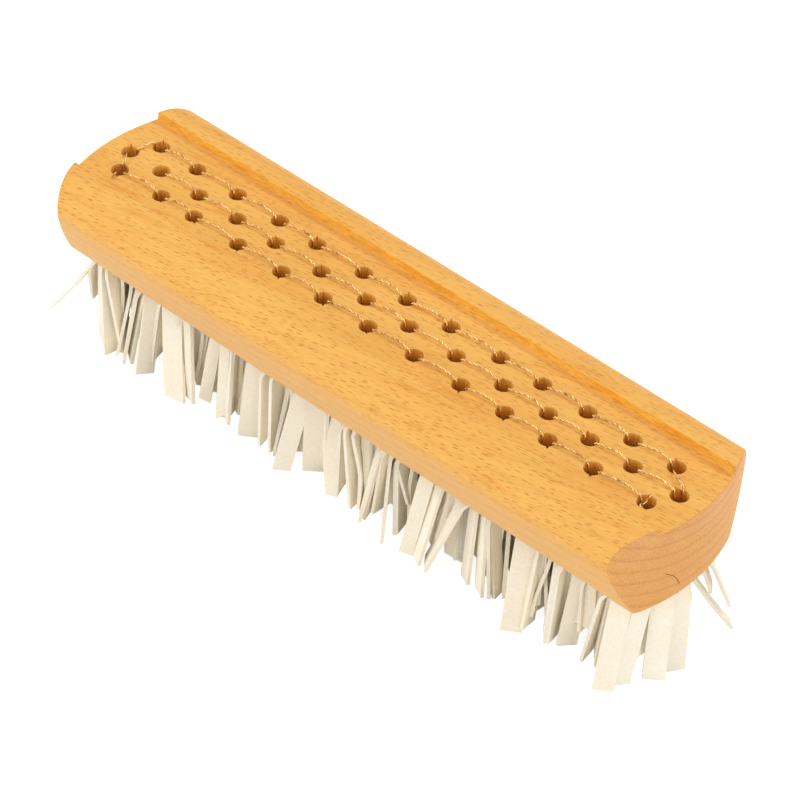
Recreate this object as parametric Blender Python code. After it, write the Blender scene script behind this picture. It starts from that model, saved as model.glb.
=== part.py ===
"""Lint brush: a beech back with forty tufts of natural rubber strips, drawn in by a brass wire.

Metres, +Z up, +X along the back. The brush stands on the tips of its strips, at z = 0, and the
origin is the middle of its outline seen from above.
"""

import math
import random

import bmesh
import bpy
import numpy as np

# Beech back: a bar of one section with a shallow channel along its top, and bowed ends
BACK_LENGTH = 0.180
BACK_WIDTH = 0.0474
BODY_DEPTH = 0.0218
CHANNEL_WIDTH = 0.0270
CHANNEL_DEPTH = 0.0020
LIP_LAND = 0.0014
ARRIS_DROP = 0.0056
UNDERSIDE_WIDTH = 0.0352
UNDERSIDE_CHAMFER = 0.0016
END_BOW = 0.0063
END_EASE = 0.0006
SHOULDER_POWER = 2.2
SHOULDER_STEPS = 7
BEVEL_POWER = 0.74
BEVEL_STEPS = 4
END_STEPS = 12
ALONG_LEAN_SHARE = 0.1
END_LEAN_SHARE = 0.5
CUT_OVERRUN = 0.002

# Drilled holes: three rows, the middle one half a pitch out of step with the others
HOLE_BORE = 0.0043
HOLE_SIDES = 16
HOLE_PITCH = 0.01324
ROW_SPACING = 0.00646
FIELD_SHIFT = -0.0007
FAR_DRIFT_SHARES = (0.06, -0.03, -0.03, 0, -0.10, 0, 0.01, 0.01, 0.12, 0.05, 0.03, -0.01, -0.09)
MIDDLE_DRIFT_SHARES = (
    0.26, 0.05, 0, -0.06, -0.13, -0.04, 0.01, 0, 0.06, 0.11, 0.09, -0.02, -0.11, -0.14
)
NEAR_DRIFT_SHARES = (0, 0.04, -0.15, -0.07, -0.03, -0.04, 0, 0.05, 0.09, 0.06, -0.01, -0.04, 0.07)

# Clear space between pieces that touch on the real brush
FIT_GAP = 0.0003

# Draw wire: down each hole, under the fold of its tuft and up again
WIRE_DIAMETER = 0.0006
LOOP_DEPTH = 0.0105
WIRE_BOW = 0.0009
WIRE_LIFT = 0.0004
WIRE_END_DEPTH = 0.0035
TAIL_LENGTH = 0.0018
FREE_END_LEAN = 0.0016
RIGHT_SIDE_DEGREES = -15
LEFT_SIDE_DEGREES = 175
STUB_DEGREES = -18
MIDDLE_LAST_DEGREES = 110
FAR_LAST_DEGREES = -70
FAR_FIRST_DEGREES = 190
MIDDLE_FIRST_DEGREES = (60, -76)
NEAR_FIRST_DEGREES = (110, -72)
CROWN_TURN_DEGREES = 20
BOW_SHARES = (0.25, 0.55, 0.82)
CORNER_BOW_SHARE = 0.25

# Rubber strips: four to a hole, folded over the wire, so eight ends hang from it
STRIP_WIDTH = 0.0050
STRIP_THICKNESS = 0.00085
STRIP_HANG = 0.034
STRIP_SPACE = 0.00030
ROOT_SPACE_SHARE = 0.15
KNEE_DROP = 0.008
CROWN_ROOF = 0.0012
CROWN_CHAMFER = 0.0006
ROOT_TAPER = 0.0008
ENDS_PER_TUFT = 8
ROOT_FILL_SHARE = 0.6
ROOT_WIDTH_SHARE = 0.9
KNEE_WIDTH_SHARE = 0.92
KNEE_DRIFT_SHARE = 0.34
ROW_LEAN = 0.0020
FAN_HALF_WIDTH = 0.0140
DRIFT_STEP = 0.0011
DRIFT_PUSH = 0.0004
YAW_STEP_DEGREES = 12
MOST_YAW_DEGREES = 40
LOOSENING_ROUNDS = 60
UPPER_CHECK_SHARES = np.array((0.3, 0.6, 1))
LOWER_CHECKS = 8
TWIST_DEGREES = 5
SHORTEST_SHARE = 0.80
TIP_SLANT_SHARE = 0.5
SEED = 12

# Strips that swing clear of the rest, past the left end and off the far right corner
STRAY_REACH = 0.0085
STRAY_SIDE_LEAN = 0.0055
STRAY_DROP_SHARE = 0.83
FAR_STRAY_REACH = 0.0085
FAR_STRAY_SIDE_LEAN = 0.0125
SECOND_STRAY_REACH = 0.0060
SECOND_STRAY_SIDE_LEAN = 0.0095

GOLDEN_SHARE = (math.sqrt(5) - 1) / 2
HALF_TURN = math.pi
ROWS = {
    "far": (ROW_SPACING, FAR_DRIFT_SHARES),
    "middle": (0, MIDDLE_DRIFT_SHARES),
    "near": (-ROW_SPACING, NEAR_DRIFT_SHARES),
}
UNDERSIDE_Z = STRIP_HANG
FLOOR_Z = UNDERSIDE_Z + BODY_DEPTH
LIP_Z = FLOOR_Z + CHANNEL_DEPTH
WIRE_RADIUS = WIRE_DIAMETER / 2
WIRE_CLEAR = WIRE_RADIUS + FIT_GAP
LOOP_Z = FLOOR_Z - LOOP_DEPTH
HOLE_RADIUS = HOLE_BORE / 2
HOLE_CLEAR_RADIUS = HOLE_RADIUS * math.cos(math.pi / HOLE_SIDES)
ROOT_HALF = (HOLE_CLEAR_RADIUS - FIT_GAP) / math.sqrt(2)
CROWN_HALF = HOLE_CLEAR_RADIUS - WIRE_DIAMETER - 2 * FIT_GAP
BACK_CENTRE_X = STRAY_REACH / 2
LEVEL_SHARES = np.array((0, KNEE_DRIFT_SHARE, 1))
KNEE_DEPTH_SHARE = KNEE_DROP / STRIP_HANG
UPPER_DEPTHS = KNEE_DROP * UPPER_CHECK_SHARES
LOWER_DEPTHS = KNEE_DROP + (STRIP_HANG - KNEE_DROP) * np.linspace(0, 1, LOWER_CHECKS + 1)[1:]

# Each side of a strip is two triangles: the corners above and below that its diagonal joins, with
# the diagonals of opposite sides alike, so that a twisted strip keeps its thickness
DIAGONAL_ABOVE = (0, 0, 1, 3)
DIAGONAL_BELOW = (3, 1, 2, 2)


def clear_scene():
    for thing in list(bpy.data.objects):
        bpy.data.objects.remove(thing)


def finish(name, colour, roughness, metallic=0.0):
    made = bpy.data.materials.new(name)
    made.use_nodes = True
    shader = made.node_tree.nodes["Principled BSDF"]
    shader.inputs["Base Color"].default_value = (*colour, 1.0)
    shader.inputs["Roughness"].default_value = roughness
    shader.inputs["Metallic"].default_value = metallic
    made.diffuse_color = (*colour, 1.0)
    return made


def object_from(name, mesh, material):
    thing = bpy.data.objects.new(name, mesh)
    bpy.context.scene.collection.objects.link(thing)
    mesh.materials.clear()
    mesh.materials.append(material)
    return thing


def prism(outline, low, high, along):
    """A closed prism of a flat outline of (a, b) points, drawn out along X or up Z."""
    shape = bmesh.new()
    places = {
        "x": lambda a, b, height: (height, a, b),
        "z": lambda a, b, height: (a, b, height),
    }[along]
    ends = [[shape.verts.new(places(a, b, height)) for a, b in outline] for height in (low, high)]
    shape.faces.new(ends[0])
    shape.faces.new(list(reversed(ends[1])))
    bmesh.ops.bridge_loops(
        shape,
        edges=[edge for edge in shape.edges if len(edge.link_faces) == 1],
    )
    bmesh.ops.recalc_face_normals(shape, faces=shape.faces)
    mesh = bpy.data.meshes.new("prism")
    shape.to_mesh(mesh)
    shape.free()
    return mesh


def helper(name, mesh):
    thing = bpy.data.objects.new(name, mesh)
    bpy.context.scene.collection.objects.link(thing)
    thing.hide_render = True
    thing.display_type = "WIRE"
    return thing


# Beech back


def near_half_section():
    """(y, z) from the channel floor over the near lip and shoulder to the underside.

    The shoulder is a full quarter oval, and the bevel below the arris swells a little.
    """
    channel = CHANNEL_WIDTH / 2
    land = channel + LIP_LAND
    arris = BACK_WIDTH / 2
    arris_z = FLOOR_Z - ARRIS_DROP
    foot = UNDERSIDE_WIDTH / 2
    foot_z = UNDERSIDE_Z + UNDERSIDE_CHAMFER
    points = [(-channel, FLOOR_Z), (-channel, LIP_Z), (-land, LIP_Z)]
    for step in range(1, SHOULDER_STEPS):
        turn = HALF_TURN / 2 * step / SHOULDER_STEPS
        across = math.sin(turn) ** (2 / SHOULDER_POWER)
        up = math.cos(turn) ** (2 / SHOULDER_POWER)
        points.append((-land - (arris - land) * across, arris_z + (LIP_Z - arris_z) * up))
    points.append((-arris, arris_z))
    for step in range(1, BEVEL_STEPS + 1):
        share = (step / BEVEL_STEPS) ** 2
        down = share**BEVEL_POWER
        points.append((-arris + (arris - foot) * share, arris_z - (arris_z - foot_z) * down))
    points.append((-foot + UNDERSIDE_CHAMFER, UNDERSIDE_Z))
    return points


def back_section():
    near = near_half_section()
    return near + [(-y, z) for y, z in reversed(near)]


def plan_outline():
    """(x, y) of the bar from above: straight sides, and each end an arc that bows outwards."""
    half = BACK_LENGTH / 2
    corner = BACK_WIDTH / 2
    radius = (corner**2 + END_BOW**2) / (2 * END_BOW)
    reach = math.asin((corner + CUT_OVERRUN) / radius)
    arc = []
    for step in range(END_STEPS + 1):
        turn = -reach + 2 * reach * step / END_STEPS
        arc.append((half - radius + radius * math.cos(turn), radius * math.sin(turn)))
    return arc + [(-x, -y) for x, y in arc]


def hole_places():
    """Row and number of each hole, with its centre measured from the middle of the back."""
    places = {}
    for row, (y, drifts) in ROWS.items():
        middle = (len(drifts) - 1) / 2
        for number, drift in enumerate(drifts):
            x = (number - middle + drift) * HOLE_PITCH + FIELD_SHIFT
            places[row, number] = np.array((x, y))
    return places


def hole_cutter(places):
    shape = bmesh.new()
    for x, y in places.values():
        made = bmesh.ops.create_cone(
            shape,
            cap_ends=True,
            segments=HOLE_SIDES,
            radius1=HOLE_RADIUS,
            radius2=HOLE_RADIUS,
            depth=BODY_DEPTH + 2 * CUT_OVERRUN,
        )
        bmesh.ops.translate(
            shape,
            verts=made["verts"],
            vec=(x, y, UNDERSIDE_Z + BODY_DEPTH / 2),
        )
    mesh = bpy.data.meshes.new("hole_cutter")
    shape.to_mesh(mesh)
    shape.free()
    return helper("hole_cutter", mesh)


def with_eased_ends(mesh):
    """The mesh with the rims of its two end faces taken off by a small flat."""
    shape = bmesh.new()
    shape.from_mesh(mesh)
    shape.normal_update()
    rims = []
    for edge in shape.edges:
        leans = sorted(abs(face.normal.x) for face in edge.link_faces)
        if leans[0] < ALONG_LEAN_SHARE and leans[-1] > END_LEAN_SHARE:
            rims.append(edge)
    bmesh.ops.bevel(
        shape,
        geom=rims,
        offset=END_EASE,
        segments=1,
        affect="EDGES",
        clamp_overlap=True,
    )
    shape.to_mesh(mesh)
    shape.free()
    return mesh


def make_back(places, material):
    half = BACK_LENGTH / 2 + CUT_OVERRUN
    bar = helper("bar", prism(back_section(), -half, half, "x"))
    plan = prism(plan_outline(), -CUT_OVERRUN, LIP_Z + CUT_OVERRUN, "z")
    cut = bar.modifiers.new("ends", "BOOLEAN")
    cut.operation = "INTERSECT"
    cut.object = helper("plan", plan)
    graph = bpy.context.evaluated_depsgraph_get()
    trimmed = bpy.data.meshes.new_from_object(bar.evaluated_get(graph))
    back = object_from("beech_back", with_eased_ends(trimmed), material)
    drill = back.modifiers.new("holes", "BOOLEAN")
    drill.operation = "DIFFERENCE"
    drill.object = hole_cutter(places)
    back.location.x = BACK_CENTRE_X
    drill.object.location.x = BACK_CENTRE_X
    bpy.data.objects.remove(cut.object)
    bpy.data.objects.remove(bar)
    return back


# Draw wire


def wire_sides(row, number):
    """Degrees round the hole at which the wire arrives and leaves, in the order of its route."""
    turns = {
        ("middle", 13): (LEFT_SIDE_DEGREES, MIDDLE_LAST_DEGREES),
        ("far", 12): (FAR_LAST_DEGREES, LEFT_SIDE_DEGREES),
        ("far", 0): (RIGHT_SIDE_DEGREES, FAR_FIRST_DEGREES),
        ("middle", 0): MIDDLE_FIRST_DEGREES,
        ("near", 0): NEAR_FIRST_DEGREES,
    }
    if (row, number) in turns:
        return turns[row, number]
    if row == "far":
        return RIGHT_SIDE_DEGREES, LEFT_SIDE_DEGREES
    return LEFT_SIDE_DEGREES, RIGHT_SIDE_DEGREES


def loop_turn(row, number):
    """Angle of the wire's run under the fold, shared evenly between its two sides."""
    arrive, leave = wire_sides(row, number)
    across = leave - (arrive - 180)
    across = (across + 180) % 360 - 180
    return math.radians(arrive - 180 + across / 2)


def around(centre, turn, radius, z):
    return np.array(
        (centre[0] + radius * math.cos(turn), centre[1] + radius * math.sin(turn), z)
    )


def over_rim(centre, turn):
    """The bend over the hole's rim, from the channel floor down to the wall of the hole."""
    short = WIRE_CLEAR * math.tan(math.pi / 8)
    return [
        around(centre, turn, HOLE_CLEAR_RADIUS - short, FLOOR_Z + WIRE_CLEAR),
        around(centre, turn, HOLE_CLEAR_RADIUS - WIRE_CLEAR, FLOOR_Z + short),
    ]


def under_fold(centre, turn):
    """The run below the fold, from beside the crown on one side to beside it on the other."""
    short = WIRE_CLEAR * math.tan(math.pi / 8)
    roof_z = LOOP_Z + WIRE_CLEAR
    crown_top = roof_z + CROWN_ROOF
    side = [
        (CROWN_HALF + WIRE_CLEAR, crown_top + WIRE_CLEAR),
        (CROWN_HALF + WIRE_CLEAR, roof_z - short),
        (CROWN_HALF + short, LOOP_Z),
    ]
    arriving = [around(centre, turn + HALF_TURN, radius, z) for radius, z in side]
    leaving = [around(centre, turn, radius, z) for radius, z in reversed(side)]
    return arriving + leaving


def needs_crown_point(turn, side):
    apart = abs((turn - side + HALF_TURN) % (2 * HALF_TURN) - HALF_TURN)
    return apart > math.radians(CROWN_TURN_DEGREES)


def through_hole(key, places):
    """The wire's points in one hole, from the rim where it arrives to the rim where it leaves."""
    centre = places[key]
    arrive, leave = (math.radians(side) for side in wire_sides(*key))
    turn = loop_turn(*key)
    run = under_fold(centre, turn)
    if not needs_crown_point(turn + HALF_TURN, arrive):
        run = run[1:]
    if not needs_crown_point(turn, leave):
        run = run[:-1]
    return over_rim(centre, arrive) + run + list(reversed(over_rim(centre, leave)))


def stretch(start, end, bow):
    """Points between two holes: the wire lies on the floor, bows to one side and lifts a little."""
    points = []
    for share in BOW_SHARES:
        swell = math.sin(math.pi * share)
        point = start + (end - start) * share
        point[1] += bow * swell
        point[2] += WIRE_LIFT * swell
        points.append(point)
    return points


def tube(name, points, material):
    """A wire of a set thickness through the points, measured from the middle of the back."""
    curve = bpy.data.curves.new(name, "CURVE")
    curve.dimensions = "3D"
    curve.bevel_depth = WIRE_RADIUS
    curve.bevel_resolution = 0
    curve.use_fill_caps = True
    spline = curve.splines.new("POLY")
    spline.points.add(len(points) - 1)
    for point, (x, y, z) in zip(spline.points, points):
        point.co = (x, y, z, 1.0)
    curve.materials.append(material)
    thing = bpy.data.objects.new(name, curve)
    bpy.context.scene.collection.objects.link(thing)
    thing.location.x = BACK_CENTRE_X
    return thing


def joined_route(keys, places):
    points = through_hole(keys[0], places)
    for last, following in zip(keys, keys[1:]):
        further = through_hole(following, places)
        in_line = last[0] == following[0]
        bow = WIRE_BOW if in_line else WIRE_BOW * CORNER_BOW_SHARE
        points += stretch(points[-1], further[0], bow) + further
    return points


def long_wire_points(places):
    """From inside the second middle hole, right, back along the far row and round to the near."""
    middle = [("middle", number) for number in range(1, len(MIDDLE_DRIFT_SHARES))]
    far = [("far", number) for number in reversed(range(len(FAR_DRIFT_SHARES)))]
    keys = middle + far + [("middle", 0), ("near", 0)]
    points = joined_route(keys, places)
    start = len(over_rim(places[keys[0]], 0))
    last_rim = points[-1]
    _, leave = wire_sides(*keys[-1])
    turn = math.radians(leave)
    outwards = np.array((math.cos(turn), math.sin(turn), 0))
    return points[start:] + [last_rim + outwards * TAIL_LENGTH]


def near_wire_points(places):
    """From a stub in the first near hole to the free end that stands up in the last."""
    keys = [("near", number) for number in range(1, len(NEAR_DRIFT_SHARES))]
    points = joined_route(keys, places)
    first = places["near", 0]
    turn = math.radians(STUB_DEGREES)
    rim = list(reversed(over_rim(first, turn)))
    wall = HOLE_CLEAR_RADIUS - WIRE_CLEAR
    stub = [around(first, turn, wall, FLOOR_Z - WIRE_END_DEPTH)] + rim
    last = places[keys[-1]]
    loose = len(over_rim(last, 0))
    end = around(last, HALF_TURN / 2, FREE_END_LEAN, LIP_Z - WIRE_DIAMETER)
    return stub + stretch(stub[-1], points[0], WIRE_BOW) + points[:-loose] + [end]


# Tufts of rubber strips


def fan_centre(place, share):
    """Where a tuft's middle is, at a share of its hang: the outer rows lean outwards."""
    side = (place[1] > 0) * 1.0 - (place[1] < 0) * 1.0
    return np.array((place[0], place[1] + side * ROW_LEAN * share))


def turned(points, turn):
    cosine, sine = math.cos(turn), math.sin(turn)
    return points @ np.array(((cosine, sine), (-sine, cosine)))


def strip_corners(width, thickness):
    half, flat = width / 2, thickness / 2
    return np.array(((-half, -flat), (half, -flat), (half, flat), (-half, flat)))


def stack_offsets(pitch):
    middle = (ENDS_PER_TUFT - 1) / 2
    return np.array([(0, (end - middle) * pitch) for end in range(ENDS_PER_TUFT)])


def tip_pitch(key, places):
    """Spacing of a tuft's tips, narrowed where the next hole is close."""
    here = fan_centre(places[key], 1)
    reach = min(
        np.linalg.norm(fan_centre(place, 1) - here) / 2
        for other, place in places.items()
        if other != key
    )
    room = math.sqrt(reach**2 - (STRIP_WIDTH / 2) ** 2)
    widest = (2 * room - STRIP_THICKNESS) / (ENDS_PER_TUFT - 1)
    return min(STRIP_THICKNESS + STRIP_SPACE, widest)


def strip_frame(key, places, twist, drops):
    """Middles of a tuft's strips at root, knee and tip, with the way and outline of each level.

    A strip that stops short ends on the way to where a full one would.
    """
    turn = loop_turn(*key)
    root_pitch = 2 * ROOT_HALF / ENDS_PER_TUFT
    last_pitch = tip_pitch(key, places)
    knee_pitch = root_pitch + (last_pitch - root_pitch) * KNEE_DEPTH_SHARE
    root_thickness = root_pitch * ROOT_FILL_SHARE
    knee_thickness = root_thickness + (STRIP_THICKNESS - root_thickness) * KNEE_DEPTH_SHARE
    outlines = (
        strip_corners(2 * ROOT_HALF * ROOT_WIDTH_SHARE, root_thickness),
        strip_corners(STRIP_WIDTH * KNEE_WIDTH_SHARE, knee_thickness),
        strip_corners(STRIP_WIDTH, STRIP_THICKNESS),
    )
    pitches = (root_pitch, knee_pitch, last_pitch)
    ways = np.array((turn, turn + twist / 2, turn + twist))
    middles = [
        turned(stack_offsets(pitch), way) + fan_centre(places[key], depth)
        for pitch, way, depth in zip(pitches, ways, (0, KNEE_DROP / STRIP_HANG, 1))
    ]
    root, knee, full = middles
    tip = root + (full - root) * np.array(drops)[:, None] / STRIP_HANG
    return np.stack((root, knee, tip), axis=1), ways, np.array(outlines)


def strip_levels(frame, end, drift, yaw):
    """One strip's corners at root, knee and tip, carried off and turned from its place in the stack."""
    middles, ways, outlines = frame
    turns = (ways + yaw * LEVEL_SHARES)[:, None]
    x, y = outlines[..., 0], outlines[..., 1]
    turned_outlines = np.stack(
        (x * np.cos(turns) - y * np.sin(turns), x * np.sin(turns) + y * np.cos(turns)),
        axis=-1,
    )
    shifts = middles[end] + drift * LEVEL_SHARES[:, None]
    return shifts[:, None] + turned_outlines


def is_bent(end):
    """Whether a strip has a knee: those on the outside of the stack and every other one inside."""
    return end in (0, ENDS_PER_TUFT - 1) or end % 2 == 0


def slices(above, below, shares):
    """A strip's corners on its way between two levels, and the points of its sides' diagonals."""
    shares = shares[:, None, None]
    corners = above * (1 - shares) + below * shares
    diagonals = above[DIAGONAL_ABOVE, :] * (1 - shares) + below[DIAGONAL_BELOW, :] * shares
    return np.concatenate((corners, diagonals), axis=1)


def outlines_down(levels, drop, bent, depths):
    """A strip's outline at each depth below the back, taken no lower than its own tip."""
    depths = np.minimum(depths, drop)
    if not bent:
        return slices(levels[0], levels[2], depths / drop)
    upper = slices(levels[0], levels[1], depths / KNEE_DROP)
    lower = slices(levels[1], levels[2], (depths - KNEE_DROP) / (drop - KNEE_DROP))
    return np.where((depths < KNEE_DROP)[:, None, None], upper, lower)


def least_gaps(one, others):
    """At each height, the gap from one outline to each of the others along their edge normals."""
    gaps = []
    no_turn = np.zeros((*others.shape[:2], 2, 2))
    for normals in (edge_normals(one)[:, None], edge_normals(others)):
        mine = np.einsum("hmnk,hck->hmnc", normals, one)
        theirs = np.einsum("hmnk,hmck->hmnc", normals + no_turn, others)
        apart = np.maximum(theirs.min(-1) - mine.max(-1), mine.min(-1) - theirs.max(-1))
        gaps.append(apart.max(-1))
    return np.maximum(*gaps)


def edge_normals(outlines):
    """Unit normals of the first two sides of four-sided outlines."""
    sides = outlines[..., 1:3, :] - outlines[..., 0:2, :]
    normals = np.stack((sides[..., 1], -sides[..., 0]), axis=-1)
    return normals / np.linalg.norm(normals, axis=-1, keepdims=True)


def least_spaces(depths):
    """The gap that is kept between strips at each depth."""
    return STRIP_SPACE * (ROOT_SPACE_SHARE + depths / STRIP_HANG / 2)


def ground_of(key, places, depths):
    """Half-planes round a tuft's own ground at each depth: point, outward way and reach."""
    others = [place for other, place in places.items() if other != key]
    shares = depths / STRIP_HANG
    here = np.array([fan_centre(places[key], share) for share in shares])
    there = np.array([[fan_centre(place, share) for place in others] for share in shares])
    away = there - here[:, None]
    apart = np.linalg.norm(away, axis=-1)
    return here, away / apart[..., None], apart / 2 - least_spaces(depths)[:, None] / 2


def on_its_ground(outline, ground):
    """Whether a strip stays nearest its own hole at each height, and within the brush's fan."""
    here, ways, reaches = ground
    reach = np.einsum("hck,hmk->hmc", outline - here[:, None], ways).max(-1)
    tip = np.abs(outline).max(axis=(0, 1))
    in_the_fan = tip[0] < BACK_LENGTH / 2 and tip[1] < FAN_HALF_WIDTH
    return in_the_fan and bool((reach < reaches).all())


def strays_of(key):
    """Strips that swing clear: end number, with its tip's place from the back's middle."""
    left_x = -BACK_LENGTH / 2 - STRAY_REACH
    right_x = (len(FAR_DRIFT_SHARES) - 1) / 2 * HOLE_PITCH
    far_y = ROW_SPACING + FAR_STRAY_SIDE_LEAN
    second_y = ROW_SPACING + SECOND_STRAY_SIDE_LEAN
    return {
        ("near", 0): {0: (left_x, -ROW_SPACING - STRAY_SIDE_LEAN)},
        ("far", 12): {
            0: (right_x + FAR_STRAY_REACH, far_y),
            1: (right_x + SECOND_STRAY_REACH, second_y),
        },
    }.get(key, {})


def swing(levels, target):
    """One strip with its knee and tip carried over, so that its tip's edge is at the target."""
    moved = levels.copy()
    tip = moved[2]
    edge = tip[:, 0].min() if target[0] < 0 else tip[:, 0].max()
    shift = np.array((target[0] - edge, target[1] - tip[:, 1].mean()))
    moved[2] += shift
    moved[1] += shift * KNEE_DROP / STRIP_HANG
    return moved


def strip_drops(strays, chance):
    """How far each strip of a tuft hangs: one reaches the ground, and the rest stop short."""
    drops = [STRIP_HANG * chance.uniform(SHORTEST_SHARE, 1) for _ in range(ENDS_PER_TUFT)]
    drops[chance.randrange(1, ENDS_PER_TUFT - 1)] = STRIP_HANG
    for end in strays:
        drops[end] = STRIP_HANG * STRAY_DROP_SHARE
    return drops


def lay_out(key, number, places, chance):
    """A tuft's strips, let loose from a neat stack by small moves in which nothing crosses."""
    strays = strays_of(key)
    twist = math.radians(TWIST_DEGREES) * (2 * (number * GOLDEN_SHARE % 1) - 1)
    if strays:
        twist = math.radians(TWIST_DEGREES)
    drops = strip_drops(strays, chance)
    depths = np.concatenate((UPPER_DEPTHS, LOWER_DEPTHS, drops))
    frame = strip_frame(key, places, twist, drops)
    ground = ground_of(key, places, depths)
    spaces = least_spaces(depths)[:, None]
    drifts = np.zeros((ENDS_PER_TUFT, 2))
    yaws = np.zeros(ENDS_PER_TUFT)
    levels = [strip_levels(frame, end, drifts[end], 0) for end in range(ENDS_PER_TUFT)]
    for end, target in strays.items():
        levels[end] = swing(levels[end], target)
    outlines = np.stack(
        [
            outlines_down(levels[end], drops[end], is_bent(end), depths)
            for end in range(ENDS_PER_TUFT)
        ],
        axis=1,
    )
    for _ in range(LOOSENING_ROUNDS):
        for end in range(ENDS_PER_TUFT):
            outwards = levels[end][-1].mean(axis=0) - fan_centre(places[key], 1)
            push = outwards / max(np.linalg.norm(outwards), STRIP_THICKNESS) * DRIFT_PUSH
            step = push + (chance.gauss(0, DRIFT_STEP), chance.gauss(0, DRIFT_STEP))
            yaw = yaws[end] + math.radians(chance.gauss(0, YAW_STEP_DEGREES))
            if end in strays or abs(yaw) > math.radians(MOST_YAW_DEGREES):
                continue
            trial = strip_levels(frame, end, drifts[end] + step, yaw)
            outline = outlines_down(trial, drops[end], is_bent(end), depths)
            if not on_its_ground(outline, ground):
                continue
            gaps = least_gaps(outline, np.delete(outlines, end, axis=1))
            if (gaps > spaces).all():
                drifts[end] += step
                yaws[end] = yaw
                levels[end] = trial
                outlines[:, end] = outline
    return levels, drops


def root_vertices(shape, place, turn):
    """The folded part of a tuft: a square root, and a crown with a way through for the wire."""
    eye_floor = LOOP_Z - WIRE_CLEAR
    eye_roof = LOOP_Z + WIRE_CLEAR
    top = eye_roof + CROWN_ROOF
    levels = (
        (UNDERSIDE_Z, ROOT_HALF, (ROOT_HALF,)),
        (eye_floor - ROOT_TAPER, ROOT_HALF, (ROOT_HALF,)),
        (eye_floor, CROWN_HALF, (ROOT_HALF, WIRE_CLEAR)),
        (eye_roof, CROWN_HALF, (ROOT_HALF, WIRE_CLEAR)),
        (top - CROWN_CHAMFER, CROWN_HALF, (ROOT_HALF,)),
        (top, CROWN_HALF, (ROOT_HALF - CROWN_CHAMFER,)),
    )
    found = []
    for z, along, across in levels:
        ring = {}
        for x in (-1, 1):
            for rank, y in enumerate(across):
                for side in (-1, 1):
                    flat = turned(np.array(((x * along, side * y),)), turn)[0] + place
                    ring[x, side, rank] = shape.verts.new((*flat, z))
        found.append(ring)
    return found


def tuft_root(shape, place, turn):
    """Faces of the root and crown but for the underside. It gives back the underside's corners."""
    foot, waist, eye_low, eye_high, chin, top = root_vertices(shape, place, turn)

    def face(*corners):
        shape.faces.new(corners)

    for side in (-1, 1):
        face(*(ring[x, side, 0] for ring, x in ((foot, -1), (foot, 1), (waist, 1), (waist, -1))))
        outer = (waist, eye_low, eye_high, chin, top)
        for low, high in zip(outer, outer[1:]):
            face(low[-1, side, 0], low[1, side, 0], high[1, side, 0], high[-1, side, 0])
        face(
            eye_low[-1, side, 1],
            eye_low[1, side, 1],
            eye_high[1, side, 1],
            eye_high[-1, side, 1],
        )
    for x in (-1, 1):
        face(foot[x, -1, 0], foot[x, 1, 0], waist[x, 1, 0], waist[x, -1, 0])
        face(
            waist[x, -1, 0],
            waist[x, 1, 0],
            eye_low[x, 1, 0],
            eye_low[x, 1, 1],
            eye_low[x, -1, 1],
            eye_low[x, -1, 0],
        )
        for side in (-1, 1):
            face(
                eye_low[x, side, 0],
                eye_low[x, side, 1],
                eye_high[x, side, 1],
                eye_high[x, side, 0],
            )
        face(
            eye_high[x, -1, 0],
            eye_high[x, -1, 1],
            eye_high[x, 1, 1],
            eye_high[x, 1, 0],
            chin[x, 1, 0],
            top[x, 1, 0],
            top[x, -1, 0],
            chin[x, -1, 0],
        )
    for ring in (eye_low, eye_high):
        face(ring[-1, -1, 1], ring[1, -1, 1], ring[1, 1, 1], ring[-1, 1, 1])
    face(top[-1, -1, 0], top[1, -1, 0], top[1, 1, 0], top[-1, 1, 0])
    return [foot[-1, -1, 0], foot[1, -1, 0], foot[1, 1, 0], foot[-1, 1, 0]]


def strip_sides(shape, above, below):
    for side in range(4):
        start, end = above[DIAGONAL_ABOVE[side]], below[DIAGONAL_BELOW[side]]
        top = above[side - 1] if start is above[side] else above[side]
        foot = below[side - 1] if end is below[side] else below[side]
        shape.faces.new((start, top, end))
        shape.faces.new((start, foot, end))


def slant_cut(above, below, depths):
    """A strip's last outline, with each corner drawn up along its own edge to its depth."""
    from_depth, corner_depths = depths[-2][0], np.array(depths[-1])
    shares = (corner_depths - from_depth) / (corner_depths.max() - from_depth)
    return above + (below - above) * shares[:, None]


def tuft_mesh(key, places, levels, drops, chance):
    shape = bmesh.new()
    rim = tuft_root(shape, places[key], loop_turn(*key))
    edges = [shape.edges.get((rim[side - 1], rim[side])) for side in range(4)]
    for end in range(ENDS_PER_TUFT):
        square = drops[end] == STRIP_HANG or end in strays_of(key)
        slant = 0 if square else chance.uniform(0, TIP_SLANT_SHARE) * STRIP_WIDTH
        rises = (0, slant, slant, 0) if chance.random() < 0.5 else (slant, 0, 0, slant)
        outlines = list(levels[end])
        depths = [[0] * 4, [KNEE_DROP] * 4, [drops[end] - rise for rise in rises]]
        if not is_bent(end):
            del outlines[1], depths[1]
        outlines[-1] = slant_cut(outlines[-2], outlines[-1], depths)
        rings = [
            [
                shape.verts.new((*corner, UNDERSIDE_Z - depth))
                for corner, depth in zip(outline, outline_depths)
            ]
            for outline, outline_depths in zip(outlines, depths)
        ]
        for above, below in zip(rings, rings[1:]):
            strip_sides(shape, above, below)
        shape.faces.new(rings[-1])
        edges += [shape.edges.get((rings[0][side - 1], rings[0][side])) for side in range(4)]
    bmesh.ops.triangle_fill(shape, edges=edges, use_beauty=True)
    bmesh.ops.triangulate(shape, faces=[face for face in shape.faces if len(face.verts) > 4])
    bmesh.ops.recalc_face_normals(shape, faces=shape.faces)
    mesh = bpy.data.meshes.new(f"tuft_{key[0]}")
    shape.to_mesh(mesh)
    shape.free()
    return mesh


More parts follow.
